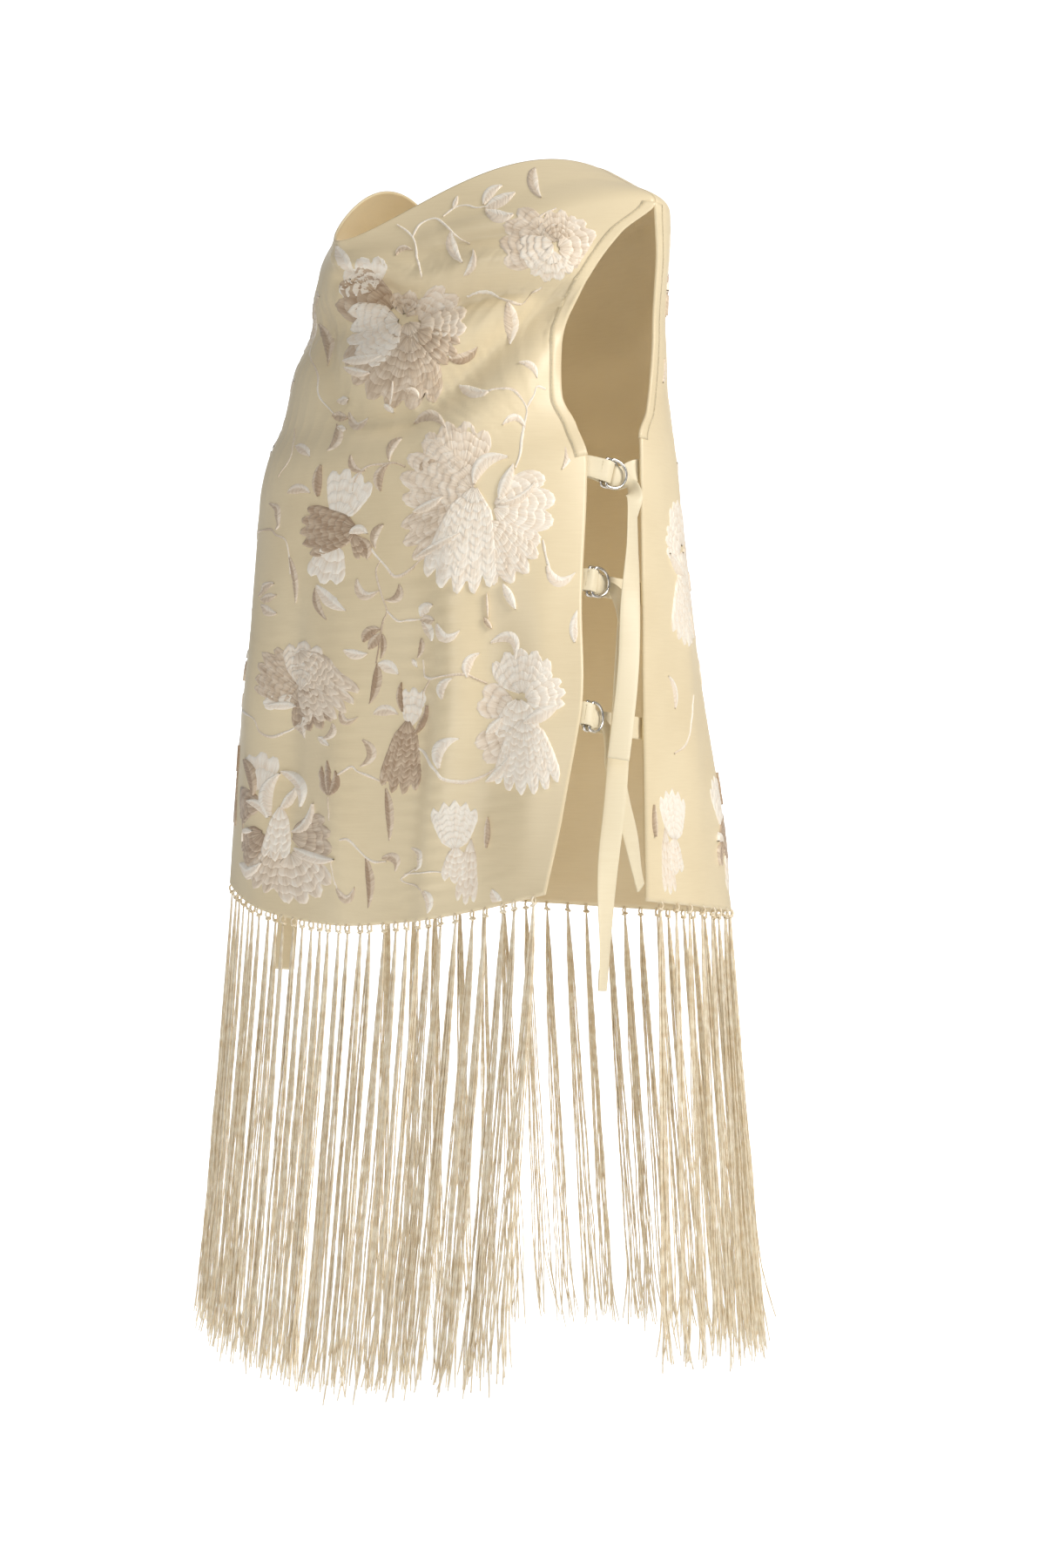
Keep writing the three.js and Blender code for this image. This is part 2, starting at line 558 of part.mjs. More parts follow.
// One hanging lock: three-sided, swelling a little, then thinning to a cut end.
function lockGeometry(start, along, normal, shift, side, seed) {
  const sway = Math.sin(seed * 2.4);
  const length = FRINGE_LENGTH + 7 * Math.sin(seed * 1.7) + 5 * Math.sin(seed * 0.37);
  const LOCK_STOPS = [
    // fall, half width
    [0, 0.9],
    [0.08, 1.2],
    [0.45, 1.35],
    [1, 0.75],
  ];
  const points = [];
  for (const [fall, half] of LOCK_STOPS) {
    const centre = start.clone();
    centre.z -= length * fall;
    centre.addScaledVector(along, (side - 0.5) * 3.6 * Math.min(fall * 4, 1) + sway * fall);
    centre.addScaledVector(normal, 3 * Math.cos(seed * 1.9) * fall);
    centre.x += shift[0] * fall;
    centre.y += shift[1] * fall;
    for (const turnAngle of [90, 210, 330]) {
      const [c, s] = [Math.cos(turnAngle * DEGREE), Math.sin(turnAngle * DEGREE)];
      points.push(centre.clone().addScaledVector(along, half * c).addScaledVector(normal, half * s));
    }
  }
  const index = [0, 1, 2];
  const last = points.length - 3;
  for (let k = 0; k < last; k += 3)
    for (let c = 0; c < 3; c++) {
      const [a, b] = [k + c, k + ((c + 1) % 3)];
      index.push(a, b + 3, b, a, a + 3, b + 3);
    }
  index.push(last, last + 2, last + 1);
  return facingOut(points, index);
}

function asManifold(geometry) {
  const position = geometry.getAttribute("position");
  const mesh = new wasm.Mesh({
    numProp: 3,
    vertProperties: Float32Array.from(position.array),
    triVerts: Uint32Array.from(geometry.index.array),
  });
  return new wasm.Manifold(mesh);
}

function fromManifold(solid) {
  const mesh = solid.getMesh();
  const geometry = new THREE.BufferGeometry();
  geometry.setAttribute("position", new THREE.BufferAttribute(mesh.vertProperties, 3));
  geometry.setIndex(Array.from(mesh.triVerts));
  return geometry;
}

// ---- Assembly ------------------------------------------------------------------------------
const group = new THREE.Group();
group.add(panelMesh("front_panel", front, 1, 28, FRONT_PLACES));
group.add(panelMesh("back_panel", back, -1, 20, BACK_PLACES));
for (const [sideName, side] of [["left", 1], ["right", -1]]) {
  group.add(bindingMesh(`binding_${sideName}`, side));
  FASTENINGS.forEach((row, k) => group.add(...fasteningMeshes(sideName, side, LEVELS[k], row)));
}
const frontShift = () => [-12, -22];
const backShift = (across) => [10 * across, 40 * (1 - across * across) - 6];
group.add(fringeMesh("fringe_front", front, 1, frontShift));
group.add(fringeMesh("fringe_back", back, -1, backShift));
export default group;
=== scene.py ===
# Satin tabard top: fine surfaces, stitching, embroidery, fringe, camera and light.
import json
import math

import bmesh
import bpy
import numpy as np
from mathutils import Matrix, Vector

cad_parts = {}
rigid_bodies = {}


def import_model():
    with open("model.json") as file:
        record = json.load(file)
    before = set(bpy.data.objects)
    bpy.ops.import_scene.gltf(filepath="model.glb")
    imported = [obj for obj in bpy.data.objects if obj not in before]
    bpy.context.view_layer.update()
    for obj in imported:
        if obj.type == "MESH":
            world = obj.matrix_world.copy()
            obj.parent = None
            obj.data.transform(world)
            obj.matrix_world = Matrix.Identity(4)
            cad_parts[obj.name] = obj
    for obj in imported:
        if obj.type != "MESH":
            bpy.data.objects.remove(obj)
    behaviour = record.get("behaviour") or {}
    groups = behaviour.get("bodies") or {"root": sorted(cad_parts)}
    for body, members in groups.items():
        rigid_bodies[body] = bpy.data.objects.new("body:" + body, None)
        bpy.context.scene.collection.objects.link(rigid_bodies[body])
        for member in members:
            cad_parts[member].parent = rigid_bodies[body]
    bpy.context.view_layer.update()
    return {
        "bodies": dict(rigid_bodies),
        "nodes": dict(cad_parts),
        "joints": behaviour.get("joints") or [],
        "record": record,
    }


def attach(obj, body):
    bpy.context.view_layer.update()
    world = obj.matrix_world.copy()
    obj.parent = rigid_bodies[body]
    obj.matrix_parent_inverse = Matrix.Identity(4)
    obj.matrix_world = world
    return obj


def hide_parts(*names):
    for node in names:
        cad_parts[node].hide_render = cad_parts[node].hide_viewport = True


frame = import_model()

MM = 0.001
WALL = 1.6
# The view: its turn, the eye's distance and height in metres, and the lens in picture pixels.
TURN = math.radians(53)
DISTANCE = 2.8
EYE = -0.414
LENS_PIXELS = 4480
CENTRE_X, CENTRE_Y = 600, 900  # the picture's middle
ORIGIN_X = 580  # where the part's origin shows
RIGHT = Vector((math.cos(TURN), math.sin(TURN), 0))
AHEAD = Vector((-math.sin(TURN), math.cos(TURN), 0))
SIDE = (CENTRE_X - ORIGIN_X) * DISTANCE / LENS_PIXELS
VIEW_RIGHT, VIEW_AHEAD = np.array(RIGHT), np.array(AHEAD)
EYE_PLACE = -VIEW_AHEAD * DISTANCE + VIEW_RIGHT * SIDE + np.array([0, 0, EYE])

# ---------------------------------------------------------------- panel forms, as in the CAD
# Rows from hem to neckline, in millimetres: the place up, the side edge, the centre, then how
# round the section is and how its height changes across.
COLUMNS = "at edgeX edgeY edgeZ centreY centreZ round power dip rise".split()
CORNER = 0.53  # the row where the side edge ends and the armhole starts
TIP = 0.88  # the row where the armhole ends and the shoulder seam starts
FRONT_ROWS = np.array([
    [0.0, 192, -110, -487, -144, -512, 0.05, 2.6, 1.0, 0],
    [0.12, 199, -100, -430, -152, -448, 0.15, 2.6, 1.0, 0],
    [0.24, 200, -87, -370, -158, -384, 0.35, 2.4, 1.0, 0],
    [0.4, 181, -71, -285, -166, -298, 0.6, 2.2, 1.0, 0],
    [0.5, 168, -57, -213, -169, -236, 0.75, 2.2, 1.0, 0],
    [0.53, 164, -54, -192, -168, -216, 0.78, 2.2, 1.0, 0],
    [0.57, 152, -54, -172, -166, -192, 0.76, 2.2, 1.0, 0],
    [0.63, 142, -59, -150, -160, -162, 0.75, 2.2, 1.0, 0],
    [0.7, 138, -56, -112, -143, -128, 0.65, 2.1, 1.1, 0],
    [0.77, 146, -43, -74, -132, -102, 0.6, 2.0, 1.4, 0],
    [0.84, 160, -22, -38, -124, -80, 0.4, 1.9, 1.6, 3],
    [0.88, 171, -0.3, -17, -129, -66, 0.3, 1.85, 1.7, 5],
    [0.94, 139, -0.3, 0, -136, -50, 0.15, 1.8, 1.8, 8],
    [1.0, 108, -0.3, 14, -142, -36, 0, 1.7, 1.8, 12],
])
BACK_ROWS = np.array([
    [0.0, 166, -4, -494, 166, -508, 0.6, 2.2, 1.0, 0],
    [0.15, 169, -8, -425, 148, -436, 0.6, 2.2, 1.0, 0],
    [0.33, 170, -10, -330, 122, -338, 0.6, 2.2, 1.0, 0],
    [0.48, 168, -10, -216, 103, -224, 0.6, 2.2, 1.0, 0],
    [0.53, 166, -9, -178, 97, -186, 0.6, 2.2, 1.0, 0],
    [0.58, 155, 6, -158, 93, -163, 0.6, 2.2, 1.0, 0],
    [0.65, 146, 17, -130, 89, -134, 0.6, 2.2, 1.0, 0],
    [0.73, 146, 19, -98, 84, -102, 0.6, 2.2, 1.0, 0],
    [0.81, 156, 14, -55, 76, -60, 0.7, 2.2, 1.0, 0],
    [0.88, 171, 0.3, -17, 67, -22, 0.8, 2.2, 1.0, 0],
    [0.94, 139, 0.3, 0, 62, -5, 0.9, 2.2, 1.0, 0],
    [1.0, 108, 0.3, 14, 58, 8, 1.0, 2.2, 1.0, 0],
])
# Folds: three places (across, up) along each, half breadth and depth in millimetres.
FRONT_FOLDS = [
    [-0.95, 0.8, -0.05, 0.85, 0.95, 0.775, 17, 5],
    [-0.9, 0.75, 0.1, 0.79, 0.92, 0.735, 15, -5],
    [-0.95, 0.72, 0.0, 0.7, 0.95, 0.72, 20, 4],
    [-0.9, 0.66, 0.05, 0.625, 0.95, 0.67, 20, -5],
    [-0.9, 0.6, 0.0, 0.565, 0.9, 0.61, 24, 3],
    [-0.6, 0.02, -0.5, 0.2, -0.4, 0.4, 22, 3],
    [-0.3, 0.0, -0.22, 0.2, -0.2, 0.4, 22, -4],
    [0.33, 0.0, 0.34, 0.2, 0.42, 0.42, 20, -5],
    [0.5, 0.0, 0.52, 0.2, 0.52, 0.42, 20, 4],
    [0.05, 0.0, 0.08, 0.14, 0.04, 0.36, 22, 3],
]
BACK_FOLDS = [
    [-0.5, 0.02, -0.44, 0.25, -0.4, 0.55, 26, 5],
    [0.0, 0.02, -0.04, 0.3, 0.02, 0.6, 26, -5],
    [0.5, 0.02, 0.46, 0.25, 0.42, 0.55, 26, 5],
    [-0.7, 0.86, 0.0, 0.8, 0.7, 0.86, 20, 3],
]
ACROSS_MM = 165  # rough size of one unit across, for measuring the folds
UP_MM = 500  # rough size of one unit up


def slopes(rows):
    """Each column's slope at each row, with no overshoot between rows."""
    rate = np.diff(rows, axis=0) / np.diff(rows[:, :1], axis=0)
    out = np.empty_like(rows)
    out[0] = rate[0]
    out[-1] = rate[-1]
    before, after = rate[:-1], rate[1:]
    product = before * after
    total = np.where(product > 0, before + after, 1.0)
    out[1:-1] = np.where(product > 0, 2 * product / total, 0.0)
    return out


SLOPES = {id(FRONT_ROWS): slopes(FRONT_ROWS), id(BACK_ROWS): slopes(BACK_ROWS)}


def row_at(rows, up):
    """Every column of a panel's table at the places up, by name."""
    k = np.clip(np.searchsorted(rows[:, 0], up, side="right"), 1, len(rows) - 1)
    slope = SLOPES[id(rows)]
    a, b = rows[k - 1], rows[k]
    span = b[..., :1] - a[..., :1]
    t = (up[..., None] - a[..., :1]) / span
    leave = slope[k - 1] * span * t * (1 - t) ** 2
    arrive = slope[k] * span * t * t * (1 - t)
    values = a + (b - a) * t * t * (3 - 2 * t) + leave - arrive
    return {name: values[..., c] for c, name in enumerate(COLUMNS)}


def plain_point(rows, across, up):
    """The panel's middle surface without its folds."""
    row = row_at(rows, up)
    u = np.clip(np.abs(across), 0, 1)
    quarter = u * math.pi / 2
    side = row["round"] * np.sin(quarter) + (1 - row["round"]) * u
    depth = row["round"] * np.cos(quarter) + (1 - row["round"]) * (1 - u ** row["power"])
    drop = np.maximum(1 - u * u, 0) ** row["dip"]
    lift = 4 * row["rise"] * u * u * (1 - u * u)
    x = np.sign(across) * row["edgeX"] * side
    y = row["edgeY"] + (row["centreY"] - row["edgeY"]) * depth
    z = row["edgeZ"] + (row["centreZ"] - row["edgeZ"]) * drop + lift
    return np.stack([x, y, z], -1)


def unit(v):
    return v / np.maximum(np.linalg.norm(v, axis=-1, keepdims=True), 1e-9)


def normal_of(surface, across, up, turn, step=0.004):
    a0, a1 = np.maximum(across - step, -1), np.minimum(across + step, 1)
    u0, u1 = np.maximum(up - step, 0), np.minimum(up + step, 1)
    along_x = surface(a1, up) - surface(a0, up)
    along_z = surface(across, u1) - surface(across, u0)
    return unit(np.cross(along_x, along_z)) * turn


FOLD_STEPS = 24


def fold_depth(folds, across, up):
    """How far the folds push the cloth out. Each follows a curve through its three places."""
    total = np.zeros(np.shape(across))
    for a0, u0, a1, u1, a2, u2, width, depth in folds:
        nearest = np.full(np.shape(across), 1e9)
        place = np.zeros(np.shape(across))
        for k in range(FOLD_STEPS + 1):
            t = k / FOLD_STEPS
            ca = a0 + (a2 - a0) * t + 4 * (a1 - (a0 + a2) / 2) * t * (1 - t)
            cu = u0 + (u2 - u0) * t + 4 * (u1 - (u0 + u2) / 2) * t * (1 - t)
            gap = np.hypot((across - ca) * ACROSS_MM, (up - cu) * UP_MM)
            nearer = gap < nearest
            nearest = np.where(nearer, gap, nearest)
            place = np.where(nearer, t, place)
        fade = np.sqrt(np.sin(math.pi * np.clip(place, 0.04, 0.96)))
        total += depth * fade * np.exp(-((nearest / width) ** 2))
    return total * np.sqrt(np.maximum(0, 1 - np.abs(across) ** 6))


def paired(a, b):
    return np.broadcast_arrays(np.asarray(a, float), np.asarray(b, float))


class Panel:
    """One panel's middle surface, in millimetres."""

    def __init__(self, rows, folds, fine, turn):
        self.rows, self.folds, self.fine, self.turn = rows, folds, fine, turn

    def plain(self, across, up):
        return plain_point(self.rows, across, up)

    def point(self, across, up):
        across, up = paired(across, up)
        normal = normal_of(self.plain, across, up, self.turn)
        out = fold_depth(self.folds, across, up) + fold_depth(self.fine, across, up)
        return self.plain(across, up) + normal * out[..., None]

    def normal(self, across, up):
        across, up = paired(across, up)
        n = normal_of(self.point, across, up, self.turn, 0.003)
        seam = (np.abs(across) > 0.9999) & (up >= TIP)
        n = np.where(seam[..., None], n * np.array([1, 0, 1]), n)
        return unit(n)


# Smaller creases that only the cloth in this scene shows: picture x, y of three places along
# each, then half breadth and depth in millimetres.
FRONT_CREASES = [
    [660, 320, 575, 300, 470, 320, 12, 9],
    [655, 342, 580, 330, 495, 352, 10, -11],
    [640, 262, 570, 256, 500, 270, 7, 3],
    [630, 277, 560, 272, 500, 284, 7, -3.4],
    [650, 352, 592, 380, 478, 470, 16, -14],
    [654, 390, 608, 432, 520, 500, 17, 9],
    [478, 470, 430, 480, 385, 455, 15, -9],
    [392, 324, 425, 336, 480, 352, 11, -14],
    [386, 296, 425, 302, 480, 314, 10, 9],
    [376, 372, 376, 420, 400, 462, 10, -7],
    [478, 590, 484, 840, 468, 1040, 11, -6],
    [510, 590, 514, 840, 500, 1045, 14, 6],
    [562, 650, 568, 850, 560, 1030, 14, -4],
    [395, 640, 400, 840, 390, 1040, 15, 5],
    [345, 640, 335, 840, 330, 1000, 13, -4.5],
    [620, 640, 622, 800, 600, 1000, 11, 3],
]
BACK_FINE = [
    [-0.8, 0.02, -0.72, 0.3, -0.6, 0.6, 14, 2.5],
    [0.2, 0.02, 0.24, 0.3, 0.2, 0.6, 14, -2.2],
    [0.78, 0.02, 0.72, 0.3, 0.62, 0.6, 14, 2.4],
    [-0.3, 0.02, -0.26, 0.3, -0.16, 0.6, 13, -2.0],
    [-0.8, 0.92, 0.0, 0.88, 0.8, 0.92, 9, 1.5],
    [-0.7, 0.8, 0.0, 0.72, 0.7, 0.8, 16, -2.5],
]
front = Panel(FRONT_ROWS, FRONT_FOLDS, [], 1)
back = Panel(BACK_ROWS, BACK_FOLDS, BACK_FINE, -1)


# Where a table says picture x, y, its places are pixels of the picture, read off one by one, and are
# found on the panel from the view. Fans, leaves and stems are ordinary shapes, drawn by rules.
PIXEL_MM = 0.625  # one pixel at the part's distance
LONGEST = 1.8  # how much a drawn length may grow where the cloth turns away


def view_place(points):
    """Where a point in millimetres shows, in picture pixels."""
    arm = points * MM - EYE_PLACE
    depth = arm @ VIEW_AHEAD
    return (CENTRE_X + LENS_PIXELS * (arm @ VIEW_RIGHT) / depth,
            CENTRE_Y - LENS_PIXELS * arm[..., 2] / depth)


class Frame:
    """A flat drawing frame on a panel: its middle and the change in each for one millimetre."""

    def __init__(self, across, up, across_rate, up_rate):
        self.across, self.up = across, up
        self.across_rate, self.up_rate = across_rate, up_rate

    def place(self, x, y):
        return self.across + self.across_rate * x, self.up + self.up_rate * y


def cloth_rates(panel, across, up):
    """Millimetres of cloth for one unit across and one unit up."""
    a, u = np.asarray(across, float), np.asarray(up, float)
    a0, a1 = np.maximum(a - 0.02, -1), np.minimum(a + 0.02, 1)
    u0, u1 = np.maximum(u - 0.01, 0), np.minimum(u + 0.01, 1)
    wide = np.linalg.norm(panel.plain(a1, u) - panel.plain(a0, u), axis=-1) / (a1 - a0)
    tall = np.linalg.norm(panel.plain(a, u1) - panel.plain(a, u0), axis=-1) / (u1 - u0)
    return wide, tall


def cloth_frame(panel, across, up):
    wide, tall = cloth_rates(panel, [across], [up])
    return Frame(across, up, 1 / wide[0], 1 / tall[0])


class Sight:
    """Finds the place on the panel that shows at a point of the picture."""

    def __init__(self, panel):
        self.panel = panel
        self.across, self.up = np.meshgrid(np.linspace(-1, 1, 121), np.linspace(0, 1, 161))
        points = panel.point(self.across, self.up)
        self.x, self.y = view_place(points)
        facing = panel.normal(self.across, self.up) @ VIEW_AHEAD < 0
        self.away = np.where(facing, 0, 1e5) + (points @ VIEW_AHEAD) * 0.002

    def find(self, x, y):
        gap = np.hypot(self.x - x, self.y - y) + self.away
        k = np.unravel_index(np.argmin(gap), gap.shape)
        return self.across[k], self.up[k]

    def frame(self, x, y):
        return SeenFrame(self, x, y)

    def sample(self, across, up):
        """Picture place and its four rates at places on the panel, read from the grid."""
        i = np.clip((across + 1) / 2 * (self.x.shape[1] - 1), 0, self.x.shape[1] - 1.001)
        j = np.clip(up * (self.x.shape[0] - 1), 0, self.x.shape[0] - 1.001)
        i0, j0 = i.astype(int), j.astype(int)
        fi, fj = i - i0, j - j0
        wide, tall = 2 / (self.x.shape[1] - 1), 1 / (self.x.shape[0] - 1)
        out = []
        for grid in (self.x, self.y):
            a, b, c, d = grid[j0, i0], grid[j0, i0 + 1], grid[j0 + 1, i0], grid[j0 + 1, i0 + 1]
            out += [(a * (1 - fi) + b * fi) * (1 - fj) + (c * (1 - fi) + d * fi) * fj,
                    ((b - a) * (1 - fj) + (d - c) * fj) / wide,
                    ((c - a) * (1 - fi) + (d - b) * fi) / tall]
        return out


class SeenFrame:
    """A drawing frame whose millimetres are those of the picture plane."""

    def __init__(self, sight, x, y):
        self.sight, self.x, self.y = sight, x, y
        self.centre = sight.find(x, y)
        wide, tall = cloth_rates(sight.panel, *[[c] for c in self.centre])
        self.wide, self.tall = wide[0], tall[0]

    def place(self, x, y):
        x, y = np.broadcast_arrays(np.asarray(x, float), np.asarray(y, float))
        goal_x, goal_y = self.x + x / PIXEL_MM, self.y - y / PIXEL_MM
        across = np.full(x.shape, self.centre[0])
        up = np.full(x.shape, self.centre[1])
        for _ in range(7):
            px, xa, xu, py, ya, yu = self.sight.sample(across, up)
            miss_x, miss_y = goal_x - px, goal_y - py
            size = xa * yu - xu * ya
            size = np.where(np.abs(size) < 3e4, np.sign(size + 1e-9) * 3e4, size)
            across = across + np.clip((miss_x * yu - miss_y * xu) / size, -0.12, 0.12)
            up = up + np.clip((miss_y * xa - miss_x * ya) / size, -0.06, 0.06)
            across, up = np.clip(across, -1.02, 1.02), np.clip(up, -0.02, 1.02)
        # where the cloth turns away a shape is drawn out only so far
        run_across, run_up = across - self.centre[0], up - self.centre[1]
        cloth = np.hypot(run_across * self.wide, run_up * self.tall)
        held = np.minimum(1, (LONGEST * np.hypot(x, y) + 0.5) / np.maximum(cloth, 0.5))
        return self.centre[0] + run_across * held, self.centre[1] + run_up * held


def crease_places(sight):
    places = []
    for x0, y0, x1, y1, x2, y2, width, depth in FRONT_CREASES:
        ends = [*sight.find(x0, y0), *sight.find(x1, y1), *sight.find(x2, y2)]
        places.append([*ends, width, depth])
    return places


front.fine = crease_places(Sight(front))


# ---------------------------------------------------------------- small mesh helpers
def add_mesh(name, points, faces, material, uvs=None, painted_light=None):
    mesh = bpy.data.meshes.new(name)
    mesh.from_pydata((np.asarray(points) * MM).tolist(), [], [tuple(f) for f in faces])
    mesh.polygons.foreach_set("use_smooth", np.ones(len(mesh.polygons), bool))
    if uvs is not None:
        layer = mesh.uv_layers.new(name="stitch")
        loops = np.empty(len(mesh.loops), np.int32)
        mesh.loops.foreach_get("vertex_index", loops)
        layer.data.foreach_set("uv", np.asarray(uvs, np.float32)[loops].ravel())
    # The per-point float attribute carries painted light and shade for the embroidery.
    if painted_light is not None:
        attribute = mesh.attributes.new("painted_light", "FLOAT", "POINT")
        attribute.data.foreach_set("value", np.asarray(painted_light, np.float32))
    obj = bpy.data.objects.new(name, mesh)
    bpy.context.scene.collection.objects.link(obj)
    mesh.materials.append(material)
    mesh.update()
    return obj


def grid_faces(rows, columns, start=0, closed=False, looped=False):
    """closed joins the last column to the first, and looped the last row to the first."""
    faces = []
    for j in range(rows if looped else rows - 1):
        low, high = start + j * columns, start + (j + 1) % rows * columns
        for i in range(columns if closed else columns - 1):
            k = (i + 1) % columns
            faces.append((low + i, low + k, high + k, high + i))
    return faces


def capped_faces(rows, columns):
    """A closed tube of rows rings, shut at both ends."""
    faces = grid_faces(rows, columns, closed=True)
    faces.append(tuple(range(columns))[::-1])
    faces.append(tuple((rows - 1) * columns + i for i in range(columns)))
    return faces


def places_up(below, beside, above):
    return np.concatenate([
        np.linspace(0, CORNER, below, endpoint=False),
        np.linspace(CORNER, TIP, beside, endpoint=False),
        np.linspace(TIP, 1, above + 1),
    ])


# ---------------------------------------------------------------- materials
def srgb(r, g, b):
    def linear(c):
        c = c / 255
        return c / 12.92 if c <= 0.04045 else ((c + 0.055) / 1.055) ** 2.4
    return (linear(r), linear(g), linear(b), 1.0)


def new_material(name):
    material = bpy.data.materials.new(name)
    material.use_nodes = True
    tree = material.node_tree
    return material, tree, tree.nodes["Principled BSDF"]


def node(tree, kind, **values):
    n = tree.nodes.new(kind)
    for key, value in values.items():
        if key in n.inputs.keys():
            n.inputs[key].default_value = value
        else:
            setattr(n, key, value)
    return n


def ramp(tree, stops):
    n = tree.nodes.new("ShaderNodeValToRGB")
    while len(n.color_ramp.elements) < len(stops):
        n.color_ramp.elements.new(0.5)
    for element, (place, color) in zip(n.color_ramp.elements, stops):
        element.position = place
        element.color = color
    return n


def wire(tree, *links):
    """Each link is a node, its output, a node and its input."""
    for source, output, target, socket in links:
        tree.links.new(source.outputs[output], target.inputs[socket])


def settle(target, **values):
    """Sets inputs by name, with _ for a space."""
    for key, value in values.items():
        target.inputs[key.replace("_", " ")].default_value = value


def satin_material(name, light, dark, rough):
    material, tree, shader = new_material(name)
    coords = node(tree, "ShaderNodeTexCoord")
    cloud = node(tree, "ShaderNodeTexNoise", Scale=9.0, Detail=3.0, Roughness=0.5)
    slub_map = node(tree, "ShaderNodeMapping")
    settle(slub_map, Scale=(60.0, 60.0, 900.0))
    slub = node(tree, "ShaderNodeTexNoise", Scale=1.0, Detail=2.0)
    mix = node(tree, "ShaderNodeMath", operation="MULTIPLY_ADD")
    mix.inputs[1].default_value = 0.3
    colours = ramp(tree, [(0.3, dark), (0.75, light)])
    wire(tree, (coords, "Object", cloud, "Vector"), (coords, "Object", slub_map, "Vector"),
         (slub_map, "Vector", slub, "Vector"), (slub, "Fac", mix, 0), (cloud, "Fac", mix, 2),
         (mix, "Value", colours, "Fac"), (colours, "Color", shader, "Base Color"))
    rough_map = node(tree, "ShaderNodeMapRange")
    settle(rough_map, To_Min=rough - 0.04, To_Max=rough + 0.07)
    wire(tree, (slub, "Fac", rough_map, "Value"), (rough_map, "Result", shader, "Roughness"))
    settle(shader, Sheen_Weight=0.06, Sheen_Roughness=0.4, Sheen_Tint=(1.0, 0.93, 0.8, 1.0),
           Specular_IOR_Level=0.5)
    threads = node(tree, "ShaderNodeTexWave", Scale=900.0, Distortion=0.4)
    threads.bands_direction = "DIAGONAL"
    height = node(tree, "ShaderNodeMath", operation="ADD")
    bump = node(tree, "ShaderNodeBump", Strength=0.1, Distance=0.0002)
    wire(tree, (coords, "Object", threads, "Vector"), (threads, "Fac", height, 0),
         (slub, "Fac", height, 1), (height, "Value", bump, "Height"), (bump, "Normal", shader, "Normal"))
    return material


SATIN = satin_material("ivory_satin", srgb(238, 222, 187), srgb(227, 209, 172), 0.34)
TAPE = satin_material("ivory_tape", srgb(238, 226, 196), srgb(229, 214, 180), 0.45)


def thread_material(name, light, dark):
    material, tree, shader = new_material(name)
    coords = node(tree, "ShaderNodeTexCoord")
    spots = node(tree, "ShaderNodeTexNoise", Scale=160.0, Detail=2.0)
    colours = ramp(tree, [(0.32, dark), (0.68, light)])
    twist = node(tree, "ShaderNodeTexWave", Scale=420.0, Distortion=1.5)
    twist.bands_direction = "DIAGONAL"
    bump = node(tree, "ShaderNodeBump", Strength=0.35, Distance=0.0003)
    wire(tree, (coords, "Object", spots, "Vector"), (spots, "Fac", colours, "Fac"),
         (colours, "Color", shader, "Base Color"), (coords, "Object", twist, "Vector"),
         (twist, "Fac", bump, "Height"), (bump, "Normal", shader, "Normal"))
    settle(shader, Roughness=0.42, Sheen_Weight=0.3)
    return material


FRINGE = thread_material("champagne_thread", srgb(253, 243, 220), srgb(228, 208, 172))
THREAD_LIGHT = thread_material("sewing_thread", srgb(236, 226, 196), srgb(214, 202, 166))


def chrome_material():
    material, tree, shader = new_material("nickel_wire")
    coords = node(tree, "ShaderNodeTexCoord")
    smear = node(tree, "ShaderNodeTexNoise", Scale=300.0, Detail=3.0)
    rough_map = node(tree, "ShaderNodeMapRange")
    settle(rough_map, To_Min=0.12, To_Max=0.3)
    colours = ramp(tree, [(0.3, srgb(196, 193, 188)), (0.7, srgb(226, 224, 220))])
    wire(tree, (coords, "Object", smear, "Vector"), (smear, "Fac", rough_map, "Value"),
         (smear, "Fac", colours, "Fac"), (colours, "Color", shader, "Base Color"),
         (rough_map, "Result", shader, "Roughness"))
    settle(shader, Metallic=1.0)
    return material


CHROME = chrome_material()

# ---------------------------------------------------------------- panel shells
def keep(obj, slot, *nodes):
    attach(obj, "root")
    if nodes:
        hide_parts(*nodes)


def panel_shell(name, panel, columns, places, material):
    """A closed wall on the panel's form."""
    across, up = np.meshgrid(np.linspace(-1, 1, columns + 1), places)
    middle = panel.point(across, up)
    normal = panel.normal(across, up)
    rows, wide = across.shape
    outer = middle + normal * WALL / 2
    inner = middle - normal * WALL / 2
    points = np.concatenate([outer.reshape(-1, 3), inner.reshape(-1, 3)])
    count = rows * wide
    faces = []
    flip = panel.turn < 0
    for j in range(rows - 1):
        for i in range(wide - 1):
            a = j * wide + i
            quad = (a, a + 1, a + 1 + wide, a + wide)
            faces.append(quad[::-1] if flip else quad)
            b = a + count
            quad = (b, b + wide, b + 1 + wide, b + 1)
            faces.append(quad[::-1] if flip else quad)
    ring = list(range(wide))
    ring += [j * wide + wide - 1 for j in range(1, rows)]
    ring += [(rows - 1) * wide + i for i in range(wide - 2, -1, -1)]
    ring += [j * wide for j in range(rows - 2, 0, -1)]
    for a, b in zip(ring, ring[1:] + ring[:1]):
        quad = (a, a + count, b + count, b)
        faces.append(quad[::-1] if flip else quad)
    uvs = np.concatenate([np.stack([across.ravel(), up.ravel()], 1)] * 2)
    return add_mesh(name, points, faces, material, uvs=uvs)


detail = 1.0
front_places = places_up(int(110 * detail), int(80 * detail), int(40 * detail))
back_places = places_up(int(70 * detail), int(50 * detail), int(24 * detail))
front_shell = panel_shell("front_cloth", front, int(180 * detail), front_places, SATIN)
back_shell = panel_shell("back_cloth", back, int(120 * detail), back_places, SATIN)
keep(front_shell, "satin", "front_panel")
keep(back_shell, "satin", "back_panel")


